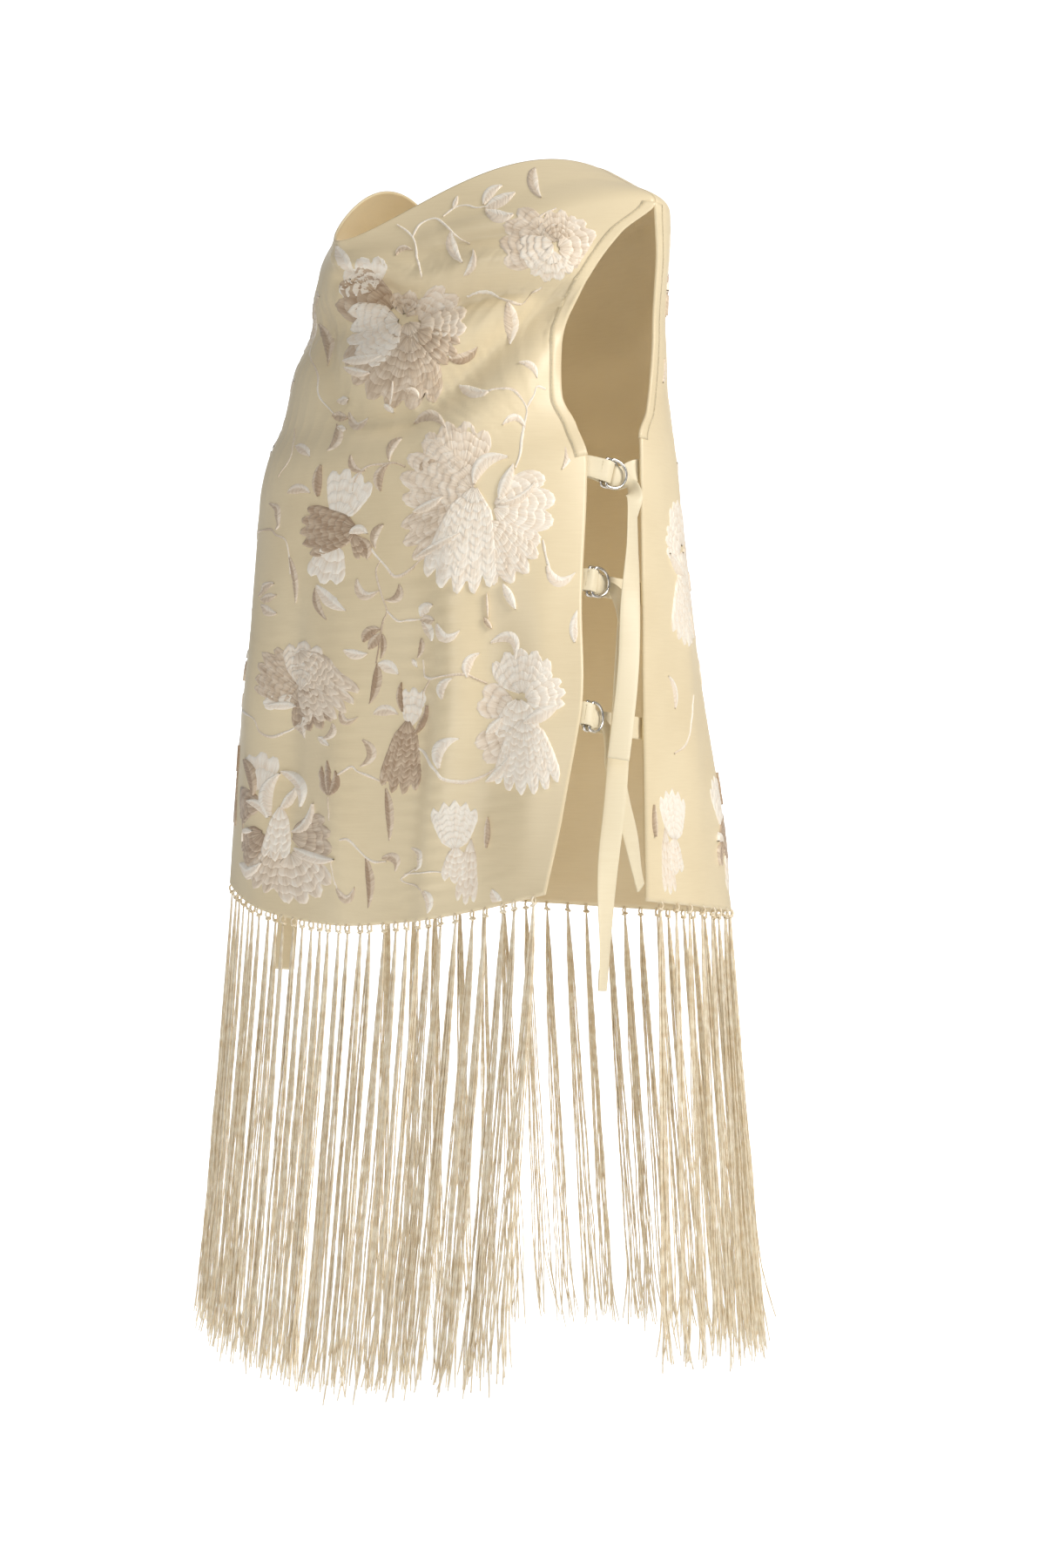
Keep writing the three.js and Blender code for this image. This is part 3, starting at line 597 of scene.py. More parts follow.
# ---------------------------------------------------------------- paths, tubes and tapes
def smooth_path(points, count):
    """Evenly spaced places on a smooth curve through the given points."""
    p = np.asarray(points, float)
    ends = np.concatenate([[2 * p[0] - p[1]], p, [2 * p[-1] - p[-2]]])
    dense = []
    for k in range(1, len(ends) - 2):
        a, b, c, d = ends[k - 1], ends[k], ends[k + 1], ends[k + 2]
        t = np.linspace(0, 1, 24, endpoint=False)[:, None]
        dense.append(0.5 * (2 * b + (c - a) * t + (2 * a - 5 * b + 4 * c - d) * t ** 2
                            + (3 * b - a - 3 * c + d) * t ** 3))
    dense = np.concatenate(dense + [p[-1:]])
    length = np.concatenate([[0], np.cumsum(np.linalg.norm(np.diff(dense, axis=0), axis=1))])
    places = np.linspace(0, length[-1], count)
    return np.stack([np.interp(places, length, dense[:, c]) for c in range(p.shape[1])], 1)


class Soup:
    """Collects many small shapes into one mesh."""

    def __init__(self):
        self.points, self.faces, self.count = [], [], 0

    def add(self, points, faces):
        points = np.asarray(points, float).reshape(-1, 3)
        self.points.append(points)
        self.faces += [tuple(i + self.count for i in f) for f in faces]
        self.count += len(points)

    def tube(self, centres, radius, sides, up, closed=False):
        c = np.asarray(centres, float)
        if closed:
            along = unit(np.roll(c, -1, 0) - np.roll(c, 1, 0))
        else:
            along = unit(np.gradient(c, axis=0))
        up = np.broadcast_to(np.asarray(up, float), c.shape)
        first = unit(np.cross(along, up) + 1e-6)
        second = np.cross(along, first)
        turns = 2 * math.pi * (np.arange(sides) + 0.5) / sides
        radius = np.broadcast_to(np.asarray(radius, float), (len(c),))[:, None, None]
        ring = (first[:, None] * np.cos(turns)[None, :, None]
                + second[:, None] * np.sin(turns)[None, :, None]) * radius
        shut = grid_faces(len(c), sides, closed=True, looped=True)
        self.add(c[:, None] + ring, shut if closed else capped_faces(len(c), sides))

    def build(self, name, material):
        return add_mesh(name, np.concatenate(self.points), self.faces, material)


def tape_mesh(soup, centres, wides, width, thickness, curl=0.0):
    """A flat tape with rounded edges. wides holds the direction of its width at each place."""
    c = np.asarray(centres, float)
    along = unit(np.gradient(c, axis=0))
    w = np.asarray(wides, float)
    w = unit(w - along * np.sum(w * along, -1, keepdims=True))
    face = np.cross(along, w)
    s = np.array([-1, -0.93, -0.6, 0, 0.6, 0.93, 1])
    full = np.array([0.25, 0.8, 1, 1, 1, 0.8, 0.25])
    s, width = s[None, :, None], np.broadcast_to(width, len(c))[:, None, None]
    full = full[None, :, None] * thickness / 2
    top = (c[:, None] + w[:, None] * s * width / 2
           + face[:, None] * (full + curl * s * s))
    low = (c[:, None] + w[:, None] * s * width / 2
           + face[:, None] * (curl * s * s - full))
    ring = np.concatenate([top, low[:, ::-1]], 1)
    soup.add(ring, capped_faces(*ring.shape[:2]))


def stitch_line(soup, path, normals, pitch=3.0, length=2.1, radius=0.2):
    """Dashes of sewing thread lying on a surface."""
    path = np.asarray(path, float)
    steps = np.concatenate([[0], np.cumsum(np.linalg.norm(np.diff(path, axis=0), axis=1))])
    for place in np.arange(0.5, steps[-1] - length, pitch):
        t = place + np.array([0, 0.25, 0.75, 1]) * length
        p = np.stack([np.interp(t, steps, path[:, c]) for c in range(3)], 1)
        n = np.stack([np.interp(t, steps, normals[:, c]) for c in range(3)], 1)
        lift = np.array([-0.15, 0.12, 0.12, -0.15])[:, None]
        soup.tube(p + n * lift, radius, 4, n[0])


# ---------------------------------------------------------------- armhole bindings
BINDING_WIDTH = 9.0
BINDING_RIM = 0.9  # how far it stands past the panel's edge
BINDING_PUFF = {1.0: 0.1, 0.55: 0.35, 0.12: 0.45, 0.0: 0.45}  # its fullness at shares of its width
BINDING_STITCHES = 0.86  # where its stitches run, as a share of its width


def edge_reach(panel, side, up):
    """How many millimetres of cloth one unit across is, beside the edge."""
    up = np.asarray(up, float)
    edge = panel.point(np.full(up.shape, side * 1.0), up)
    deeper = panel.point(np.full(up.shape, side * 0.9), up)
    return np.linalg.norm(edge - deeper, axis=-1) / 0.1


def binding_piece(side_name, side):
    """The strip that wraps an armhole's edge on both panels, with its stitches."""
    soup, thread = Soup(), Soup()
    places = np.linspace(CORNER, TIP, 60)
    for panel in (front, back):
        reach = edge_reach(panel, side, places)
        stops = []
        for share in BINDING_PUFF:
            across = side * (1 - share * BINDING_WIDTH / reach)
            stops.append((panel.point(across, places), panel.normal(across, places)))
        puffs = [WALL / 2 + 0.15 + puff for puff in BINDING_PUFF.values()]
        outer = [p + n * puff for (p, n), puff in zip(stops, puffs)]
        inner = [p - n * puff for (p, n), puff in zip(stops, puffs)]
        edge, normal = stops[3]
        beyond = unit(edge - stops[1][0])
        middle = [edge + beyond * BINDING_RIM + normal * 0.9,
                  edge + beyond * (BINDING_RIM + 0.5),
                  edge + beyond * BINDING_RIM - normal * 0.9]
        under_out = [p + n * (WALL / 2 + 0.02) for p, n in stops]
        under_in = [p - n * (WALL / 2 + 0.02) for p, n in stops]
        ring = np.stack(outer + middle + inner[::-1] + under_in + under_out[::-1], 1)
        soup.add(ring, capped_faces(*ring.shape[:2]))
        across = side * (1 - BINDING_STITCHES * BINDING_WIDTH / reach)
        line = panel.point(across, places) + panel.normal(across, places) * (WALL / 2 + 0.5)
        stitch_line(thread, line, panel.normal(across, places))
    obj = soup.build(f"binding_{side_name}_cloth", SATIN)
    fix_normals(obj)
    keep(obj, "satin", f"binding_{side_name}")
    keep(thread.build(f"binding_{side_name}_stitches", THREAD_LIGHT), "thread")


def fix_normals(obj):
    mesh = bmesh.new()
    mesh.from_mesh(obj.data)
    bmesh.ops.recalc_face_normals(mesh, faces=mesh.faces)
    mesh.to_mesh(obj.data)
    mesh.free()
    obj.data.polygons.foreach_set("use_smooth", np.ones(len(obj.data.polygons), bool))


# ---------------------------------------------------------------- side fastenings
# Each level: heights of the tab and of the strap on the panels' edges, the tab's slant in degrees,
# its reach to the inner bar, the free tail's length and stand from the sides, its place from front
# to back at the top and at the end, how early it moves across, and its sideways turn at its top,
# middle and end.
FASTENINGS = {
    "upper": (-198, -200, 16, 15, 164, 16, -31, -58, 1.4, 0.5, -0.3, -0.55),
    "middle": (-276, -284, 10, 7, 246, 10, -38, -62, 0.65, 0.1, -0.5, 0.6),
    "lower": (-366, -376, 14, 7.5, 86, 4.5, -50, -13, 1, 0, 0.2, 0.6),
}
TAPE_WIDTH = 15
TAPE_THICKNESS = 1
RING_WIRE = 1.1
RING_HEIGHT = 19
RING_DEPTH = 14
RING_SHOULDER = 4.5  # where the bow's curve starts
BAR_STEP = 2.6  # how much further out the outer ring sits
BAR_SPREAD = 1.4  # each bar's distance from the tab's middle
TAB_HOLD = BAR_SPREAD + RING_WIRE + 0.3 + TAPE_THICKNESS / 2
RING_FAN = math.radians(5)  # between a ring and the tab's middle plane
GATHERED = 0.5  # share of its width that a tape keeps where it bunches in the rings
HANG_DROP = 26  # how far below the rings the hanging part starts
CURL_STEPS, HANG_STEPS = 6, 8
CURL_REACH = 32  # pull of the curl along the tape as it leaves the rings
CURL_FALL = 30  # pull of the curl straight down where the hanging part starts
LOWEST_EDGE = -470  # below this height a tail keeps to the side edges as they are here
STRAP_PLACES = 150
STRAP_FOLD = slice(143, STRAP_PLACES)  # the end that is folded up and stitched
RIPPLE_START = {"upper": 0.4, "middle": 2.1, "lower": 4.0}


def edge_at_height(panel, side, height):
    places = np.linspace(0, CORNER, 400)
    edge = panel.point(np.full(400, side * 1.0), places)
    up = np.interp(height, edge[:, 2], places)
    return panel.point([side * 1.0], [up])[0], up


def over_side(side, y, height, stand):
    held = max(height, LOWEST_EDGE)
    a, _ = edge_at_height(front, side, held)
    b, _ = edge_at_height(back, side, held)
    share = (y - a[1]) / (b[1] - a[1])
    return np.array([side * (abs(a[0] + (b[0] - a[0]) * share) + stand), y, height])


def under_panel(panel, side, height, inset, depth, slope):
    """A place on a tape sewn under the panel, and the direction of the tape's width there."""
    _, up = edge_at_height(panel, side, height)
    across = side * (1 - inset / edge_reach(panel, side, [up])[0])
    normal = panel.normal([across], [up])[0]
    return panel.point([across], [up])[0] - normal * depth, unit(slope - normal * (slope @ normal))


def ring_outline(count=56):
    """The wire's centre line: a straight bar, rounded corners and a bow."""
    half, corner = RING_HEIGHT / 2, 1.6
    rough = [[0, -half + corner], [0, -half * 0.5], [0, half * 0.5], [0, half - corner], [corner, half]]
    for turn in range(80, -81, -20):
        angle = math.radians(turn)
        bow = (RING_DEPTH - RING_SHOULDER) * math.cos(angle)
        rough.append([RING_SHOULDER + bow, half * math.sin(angle)])
    rough.append([corner, -half])
    rough = np.array(rough)
    around = np.concatenate([rough[-3:], rough, rough[:3]])
    path = smooth_path(around, count * 2)
    start = np.argmin(np.linalg.norm(path[:count // 2] - rough[0], axis=1))
    rest = path[start:]
    finish = np.argmin(np.linalg.norm(rest[count:] - rough[0], axis=1)) + count
    return rest[:finish]


def ease_in_out(t):
    return t * t * (3 - 2 * t)


def tail_width(turns, side, t):
    """The direction of a hanging tail's width: its turn at the top, halfway and at the end."""
    low, high = (turns[0], turns[1]) if t < 0.5 else (turns[1], turns[2])
    turn = low + (high - low) * ease_in_out(2 * t if t < 0.5 else 2 * t - 1)
    return unit(np.array([turn * side, -1.0, 0]))


def fastening(side_name, side, level):
    """One tab, its two rings and the strap through them, with their stitches."""
    front_at, back_at, slant, reach, tail, stand, top_y, end_y, ease, *turns = FASTENINGS[level]
    front_edge, _ = edge_at_height(front, side, front_at)
    back_edge, _ = edge_at_height(back, side, back_at)
    flat = back_edge - front_edge
    flat[2] = 0
    flat = unit(flat)
    down = np.array([0, 0, -1.0])
    fall = math.radians(slant)
    h = flat * math.cos(fall) + down * math.sin(fall)
    out = unit(np.cross(flat, down)) * -side
    v = unit(np.cross(h, out)) * side

    def at(along, outward):
        return front_edge + h * along + out * outward

    turn_at = reach + BAR_STEP
    under = WALL / 2 + TAPE_THICKNESS / 2 + 1
    leg = TAPE_THICKNESS + 0.6
    stops = [under_panel(front, side, front_at, 9, under, v),
             under_panel(front, side, front_at, 0.5, under, v)]
    loop = [(reach - 1.5, TAB_HOLD), (turn_at, TAB_HOLD),
            (turn_at + TAB_HOLD * 0.7, TAB_HOLD * 0.7), (turn_at + TAB_HOLD, 0),
            (turn_at + TAB_HOLD * 0.7, -TAB_HOLD * 0.7), (turn_at, -TAB_HOLD),
            (reach - 0.5, -TAB_HOLD)]
    stops += [(at(*place), v) for place in loop]
    stops += [under_panel(front, side, front_at, 0.5, under + leg, v),
              under_panel(front, side, front_at, 9, under + leg, v)]
    soup, thread = Soup(), Soup()
    both = smooth_path(np.array([np.concatenate(s) for s in stops]), 60)
    tape_mesh(soup, both[:, :3], both[:, 3:], TAPE_WIDTH, TAPE_THICKNESS)
    # two rows of stitching close the tab before the bars
    for along in (reach - 3.2, reach - 4.4):
        if along > 1:
            row = at(along, TAB_HOLD * along / reach + 0.3)
            line = np.array([row + v * x for x in (-6.5, 0, 6.5)])
            normals = np.array([out] * 3)
            stitch_line(thread, line, normals, 2.2, 1.6, 0.16)
    # D-rings
    rings = Soup()
    for k, sign in enumerate((1, -1)):
        fan = sign * RING_FAN
        deep = h * math.cos(fan) + out * math.sin(fan)
        bar = at(turn_at if k == 0 else reach, sign * BAR_SPREAD)
        path = ring_outline()
        centres = bar + path[:, :1] * deep + path[:, 1:] * v
        rings.tube(centres, RING_WIRE, 12, closed=True, up=np.cross(deep, v))
    ring_obj = rings.build(f"rings_{side_name}_{level}", CHROME)
    fix_normals(ring_obj)
    keep(ring_obj, "steel", f"ring_{side_name}_{level}_outer", f"ring_{side_name}_{level}_inner")
    # strap
    through = turn_at + TAB_HOLD + TAPE_THICKNESS + 0.5
    below, between = -(TAB_HOLD + 1.6), -0.1
    bend_at, bend_half = (below + between) / 2, (between - below) / 2
    leave = at(turn_at + RING_DEPTH + 2.5, between)
    path = [under_panel(back, side, back_at, 8, under + 1.5, v),
            under_panel(back, side, back_at, 0, under + 1.5, v),
            (at(through + 8, below), v), (at(through + 2, below), v),
            (at(through + 0.5, bend_at - bend_half * 0.75), v), (at(through, bend_at), v),
            (at(through + 0.5, bend_at + bend_half * 0.75), v),
            (at(through + 2, between), v), (leave, v)]
    top_z = leave[2] - HANG_DROP
    hang = over_side(side, top_y, top_z, stand)
    curl = [k / (CURL_STEPS + 1) for k in range(1, CURL_STEPS + 1)]
    for t in curl:
        turned = ease_in_out(t)
        bend = leave + (hang - leave) * turned + h * CURL_REACH * t * (1 - t) ** 2
        bend = bend - down * CURL_FALL * t * t * (1 - t)
        path.append((bend, unit(v * (1 - turned) + tail_width(turns, side, 0) * turned)))
    for k in range(HANG_STEPS + 1):
        t = k / HANG_STEPS
        y = top_y + (end_y - top_y) * t ** ease
        path.append((over_side(side, y, top_z - tail * t, stand), tail_width(turns, side, t)))
    shares = [1.0] * 8 + [GATHERED]
    shares += [GATHERED + (1 - GATHERED) * ease_in_out(t) for t in curl] + [1.0] * (HANG_STEPS + 1)
    both = smooth_path(np.array([[*p, *w, s] for (p, w), s in zip(path, shares)]), STRAP_PLACES)
    both, width = both[:, :6], TAPE_WIDTH * both[:, 6]
    run = np.linspace(0, 1, STRAP_PLACES)
    phase = RIPPLE_START[level] + side * 0.7
    ripple = np.sin(run * 19 + phase) * np.clip(run - 0.45, 0, 1) * 1.6
    centres = both[:, :3] + out * ripple[:, None]
    tape_mesh(soup, centres, both[:, 3:], width, TAPE_THICKNESS, curl=0.35)
    face = unit(np.cross(np.gradient(centres, axis=0)[STRAP_FOLD], both[STRAP_FOLD, 3:]))
    folded = centres[STRAP_FOLD] + face * 0.95
    tape_mesh(soup, folded, both[STRAP_FOLD, 3:], TAPE_WIDTH - 0.6, 0.9)
    row = STRAP_FOLD.start + 1
    wide = unit(both[row, 3:])
    line = np.array([centres[row] + wide * x + face[1] * 1.5 for x in (-6.6, 0, 6.6)])
    stitch_line(thread, line, np.array([face[1]] * 3), 2.2, 1.6, 0.16)
    tape_obj = soup.build(f"tapes_{side_name}_{level}", TAPE)
    fix_normals(tape_obj)
    keep(tape_obj, "tape", f"tab_{side_name}_{level}", f"strap_{side_name}_{level}")
    keep(thread.build(f"tape_stitches_{side_name}_{level}", THREAD_LIGHT), "thread")


# ---------------------------------------------------------------- fringe
KNOTS = 31
THREADS = 10  # to a knot
FRINGE_LENGTH = 304
KNOT_REACH = 0.985  # the share of the hem's half width that the knots fill


def fringe_piece(name, panel, shift, seed):
    """The knots and threads of one hem. shift gives how far a bundle's tip swings, in x and y."""
    rng = np.random.default_rng(seed)
    threads, knots = Soup(), Soup()
    count = 48
    sides = 4
    fall = np.linspace(0, 1, count)
    for k in range(KNOTS):
        across = -KNOT_REACH + 2 * KNOT_REACH * (2 * k + 1) / (2 * KNOTS)
        across += rng.uniform(-0.35, 0.35) * KNOT_REACH / KNOTS
        edge = panel.point([across], [0.0])[0]
        normal = unit(panel.normal([across], [0.0])[0] * np.array([1, 1, 0]))
        side = unit(panel.point([across + 0.01], [0.0])[0] - panel.point([across - 0.01], [0.0])[0])
        down = np.array([0, 0, -1.0])
        swing = rng.normal(0, 2.2)
        # the knot: a loop through the hem, and a turn of thread round the bundle
        t = np.linspace(0, 2 * math.pi, 15)[:-1]
        loop = (edge + down * (1.8 + 2.6 * -np.cos(t))[:, None]
                + normal * (1.9 * np.sin(t))[:, None]
                + side * (0.5 * np.cos(2 * t) + rng.normal(0, 0.25))[:, None])
        knots.tube(loop, 0.75, 6, closed=True, up=side)
        wrap = (edge + down * (4.6 + 0.5 * np.sin(t + k))[:, None]
                + side * (1.75 * np.cos(t))[:, None] + normal * (1.35 * np.sin(t))[:, None])
        knots.tube(wrap, 0.85, 6, closed=True, up=down)
        bundle_fan = rng.uniform(4.2, 6.4)
        phase = rng.uniform(0, 6.3)
        dx, dy = shift(across)
        for i in range(THREADS):
            place = (i + 0.5) / THREADS * 2 - 1
            place += rng.normal(0, 0.12)
            depth = rng.normal(0, 0.6)
            length = FRINGE_LENGTH + 6 + rng.normal(0, 5)
            if rng.random() < 0.12:
                length -= rng.uniform(4, 16)
            wave = rng.uniform(0.25, 0.8)
            turns = rng.uniform(2.5, 6.0)
            start = edge + down * 5.0
            gather = np.minimum(fall * 9, 1) ** 0.6
            spread = gather * (1.2 + bundle_fan * fall ** 0.8)
            along_side = place * spread + swing * fall ** 1.5
            along_side = along_side + wave * fall * np.sin(fall * turns * 6.3 + phase + i)
            fray = np.clip(fall - 0.86, 0, 1) / 0.14
            along_side = along_side + fray ** 1.5 * rng.normal(0, 3.4)
            along_out = depth * gather * (0.6 + 1.6 * fall)
            along_out = along_out + wave * fall * np.cos(fall * turns * 5.1 + i * 2.1)
            along_out = along_out + fray ** 1.5 * rng.normal(0, 2.2)
            centres = (start + down * (length * fall)[:, None] + side * along_side[:, None]
                       + normal * along_out[:, None]
                       + np.outer(fall ** 1.1, np.array([dx, dy, 0])))
            thick = rng.uniform(0.5, 0.68)
            radius = thick * (1 + 0.22 * np.sin(np.arange(count) * 2.6 + i))
            radius[-2:] *= 0.7
            threads.tube(centres, radius, sides, up=normal)
    thread_obj = threads.build(name + "_threads", FRINGE)
    keep(thread_obj, "thread", name)
    knot_obj = knots.build(name + "_knots", FRINGE)
    keep(knot_obj, "thread")
    return thread_obj, knot_obj


for side_name, side in (("left", 1), ("right", -1)):
    binding_piece(side_name, side)
    for level in FASTENINGS:
        fastening(side_name, side, level)


def front_shift(across):
    return -12, -22


def back_shift(across):
    return 10 * across, 40 * (1 - across * across) - 6


front_fringe, front_knots = fringe_piece("fringe_front", front, front_shift, 11)
back_fringe, back_knots = fringe_piece("fringe_back", back, back_shift, 23)


# ---------------------------------------------------------------- embroidery
class Needlework:
    """Satin stitch laid on a panel, collected into one mesh."""

    def __init__(self, panel, seed):
        self.panel, self.rng = panel, np.random.default_rng(seed)
        self.rows, self.faces, self.count = [], [], 0

    def patch(self, across, up, height, painted_light, s, t):
        """One grid of stitches, with its height off the cloth, painted light and shade, and stitch place s,
        t.
        """
        grid = [np.broadcast_to(v, across.shape).ravel() for v in (across, up, height, painted_light, s, t)]
        self.rows.append(np.stack(grid, 1))
        self.faces += grid_faces(across.shape[0], across.shape[1], self.count)
        self.count += across.size

    def fan(self, frame, x, y, aim, spread, reach, start, tiers, lobes, painted_light, lift):
        """Bands of stitch round a heart, each band's scalloped edge over the next one out."""
        aim, spread = math.radians(aim), math.radians(spread)
        columns = int(np.clip(spread * reach / (1.5), 8 * lobes ** 0.5, 56))
        q = np.linspace(-1, 1, columns)
        angle = aim + q * spread / 2
        teeth = np.abs(((q + 1) * spread * reach / 5.2) % 1 - 0.5) * 2
        shape = 1 - 0.1 * q * q
        share = np.array([0, 0.3, 0.6, 0.86, 1.0])
        rise = np.array([0.08, 0.25, 0.4, 0.46, -0.2])
        # Painted shade at each band's inner start and painted highlight towards its scalloped edge.
        shade = np.array([-0.22, -0.05, 0.03, 0.09, 0.04])
        edges = []
        for k in range(tiers):
            part = ((k + 1) / tiers) ** 0.92
            slip = 0.5 * (k % 2) * (k < tiers - 1) * 0.35
            scallop = np.abs(np.sin(math.pi * (lobes * (q + 1) / 2 + slip))) ** 0.7
            depth = 0.1 + 0.08 * (k == tiers - 1)
            radius = start + (reach - start) * part
            edge = radius * shape * (1 - depth * (1 - scallop)) + (teeth - 0.5) * 1.1 * (k + 1) / tiers
            edges.append(edge + self.rng.normal(0, 0.18, columns))
        border = np.clip((1 - np.abs(q)) / 0.07, 0, 1) ** 0.5
        for k in reversed(range(tiers)):
            outer = edges[k]
            inner = edges[k - 1] * 0.94 if k else np.full(columns, start * 0.4)
            radius = inner + (outer - inner) * share[:, None]
            base = lift + 0.55 * (1 - (k + 1) / tiers)
            height = (base + rise[:, None]) * border
            height[-1] = -0.25 if k == tiers - 1 else base * 0.3
            height = height - 0.25 * (1 - border)
            # Painted light: the fan's own value plus the band's painted shade and highlight, and a gentle
            # wave of painted light across the fan.
            painted_light_values = painted_light + shade[:, None] * (1.0 if k else 0.6)
            painted_light_values = painted_light_values + 0.07 * np.sin(q * 11 + k * 2.1 + x)
            broad = np.minimum((reach / np.maximum(radius, 1)) ** 0.5, 1.9)
            turned = aim + (angle - aim) * np.minimum(broad, 2.4 / spread)
            px, py = x + radius * np.cos(turned), y + radius * np.sin(turned)
            across, up = frame.place(px, py)
            self.patch(across, up, height, painted_light_values, angle * reach * 0.62, radius)

    def leaf(self, frame, x0, y0, x1, y1, width, bend, painted_light, lift=0.0):
        """A crescent between two ends, with painted light on one side of its middle line and painted shade
        on the other.
        """
        n, m = ((15, 7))
        t = np.linspace(0, 1, n)[:, None]
        w = np.linspace(-1, 1, m)[None, :]
        dx, dy = x1 - x0, y1 - y0
        length = math.hypot(dx, dy)
        bow = 4 * bend * t * (1 - t) / length
        slope = 4 * bend * (1 - 2 * t) / length
        size = np.sqrt(1 + slope ** 2)
        half = width / 2 * np.sin(math.pi * np.clip(t, 0.02, 0.98) ** 0.85) ** 0.75
        px = x0 + dx * t - dy * bow + (-dy - dx * slope) / length / size * w * half
        py = y0 + dy * t + dx * bow + (dx - dy * slope) / length / size * w * half
        height = lift + 0.25 + 0.55 * np.sqrt(1 - w * w) + 0 * t
        height = np.where(np.abs(w) > 0.99, -0.25, height - 0.18 * (np.abs(w) < 0.01))
        # Painted light on one half and painted shade on the other, growing lighter towards the second end.
        painted_light_values = painted_light + np.where(w > 0, 0.17, -0.17) + 0.12 * (t - 0.5)
        across, up = frame.place(px, py)
        self.patch(across, up, height, painted_light_values, t * length + np.abs(w) * half * 0.7, w * half)

    def stem(self, places, thick, painted_light):
        """A narrow band along a smooth line through places (across, up)."""
        count = max(8, int(len(places) * (10)))
        path = smooth_path(np.asarray(places, float), count)
        wide, tall = cloth_rates(self.panel, path[:, 0], path[:, 1])
        step = np.gradient(path, axis=0) * np.stack([wide, tall], 1)
        side = unit(np.stack([-step[:, 1], step[:, 0]], 1))
        w = np.array([-1, -0.6, 0, 0.6, 1.0])
        half = thick / 2 * (0.65 + 0.35 * np.sin(np.linspace(0, 7, count)) ** 2)[:, None]
        across = path[:, :1] + side[:, :1] * w * half / wide[:, None]
        up = path[:, 1:] + side[:, 1:] * w * half / tall[:, None]
        run = np.cumsum(np.linalg.norm(step, axis=1))[:, None]
        height = np.array([-0.25, 0.45, 0.68, 0.45, -0.25]) + 0 * run
        # Painted light: one side lighter than the other, in lighter and darker stretches along the stem.
        painted_light_values = painted_light + 0.16 * np.sign(w) + 0.2 * np.sin(run / 14)
        self.patch(across, up, height, painted_light_values, run + np.abs(w) * half, w * half)

    def build(self, name):
        data = np.concatenate(self.rows)
        across, up, height = data[:, 0], data[:, 1], data[:, 2].copy()
        beside = np.clip((up - CORNER + 0.01) / 0.01, 0, 1) * np.clip((TIP + 0.01 - up) / 0.01, 0, 1)
        limit = 0.985 - 0.05 * beside
        held_a = np.clip(across, -limit, limit)
        held_u = np.clip(up, 0.006, 0.99)
        off = (np.abs(held_a - across) > 1e-6) | (np.abs(held_u - up) > 1e-6)
        height[off] = -0.3
        points = self.panel.point(held_a, held_u)
        points = points + self.panel.normal(held_a, held_u) * (WALL / 2 + height)[:, None]
        shown = [f for f in self.faces if not all(off[i] for i in f)]
        flipped = [f if self.panel.turn > 0 else f[::-1] for f in shown]
        painted_light_values = np.clip(data[:, 3], 0, 1)
        return add_mesh(name, points, flipped, EMBROIDERY, uvs=data[:, 4:6], painted_light=painted_light_values)


def embroidery_material():
    material, tree, shader = new_material("silk_stitch")
    # The per-point attribute is painted light and shade: the ramp turns it into colours from painted shade
    # (brown beige) to painted highlight (near white), mixed with the thread streaks.
    painted_light = node(tree, "ShaderNodeAttribute", attribute_name="painted_light")
    colours = ramp(tree, [(0.0, srgb(176, 149, 122)), (0.3, srgb(212, 191, 165)),
                          (0.62, srgb(242, 226, 205)), (1.0, srgb(255, 248, 235))])
    uv = node(tree, "ShaderNodeUVMap", uv_map="stitch")
    stretch = node(tree, "ShaderNodeMapping")
    settle(stretch, Scale=(0.62, 0.07, 1.0))
    streak = node(tree, "ShaderNodeTexNoise", Scale=1.0, Detail=2.0, Roughness=0.6)
    mix = node(tree, "ShaderNodeMath", operation="MULTIPLY_ADD")
    mix.inputs[1].default_value = 0.8
    shift = node(tree, "ShaderNodeMath", operation="SUBTRACT")
    shift.inputs[1].default_value = 0.4
    bump = node(tree, "ShaderNodeBump", Strength=1.0, Distance=0.0008)
    tangent = node(tree, "ShaderNodeTangent", direction_type="UV_MAP", uv_map="stitch")
    wire(tree, (uv, "UV", stretch, "Vector"), (stretch, "Vector", streak, "Vector"),
         (streak, "Fac", mix, 0), (painted_light, "Fac", shift, 0), (shift, "Value", mix, 2),
         (mix, "Value", colours, "Fac"), (colours, "Color", shader, "Base Color"),
         (streak, "Fac", bump, "Height"), (bump, "Normal", shader, "Normal"),
         (tangent, "Tangent", shader, "Tangent"))
    settle(shader, Roughness=0.4, Anisotropic=0.45, Sheen_Weight=0.15, Specular_IOR_Level=0.55)
    return material


EMBROIDERY = embroidery_material()

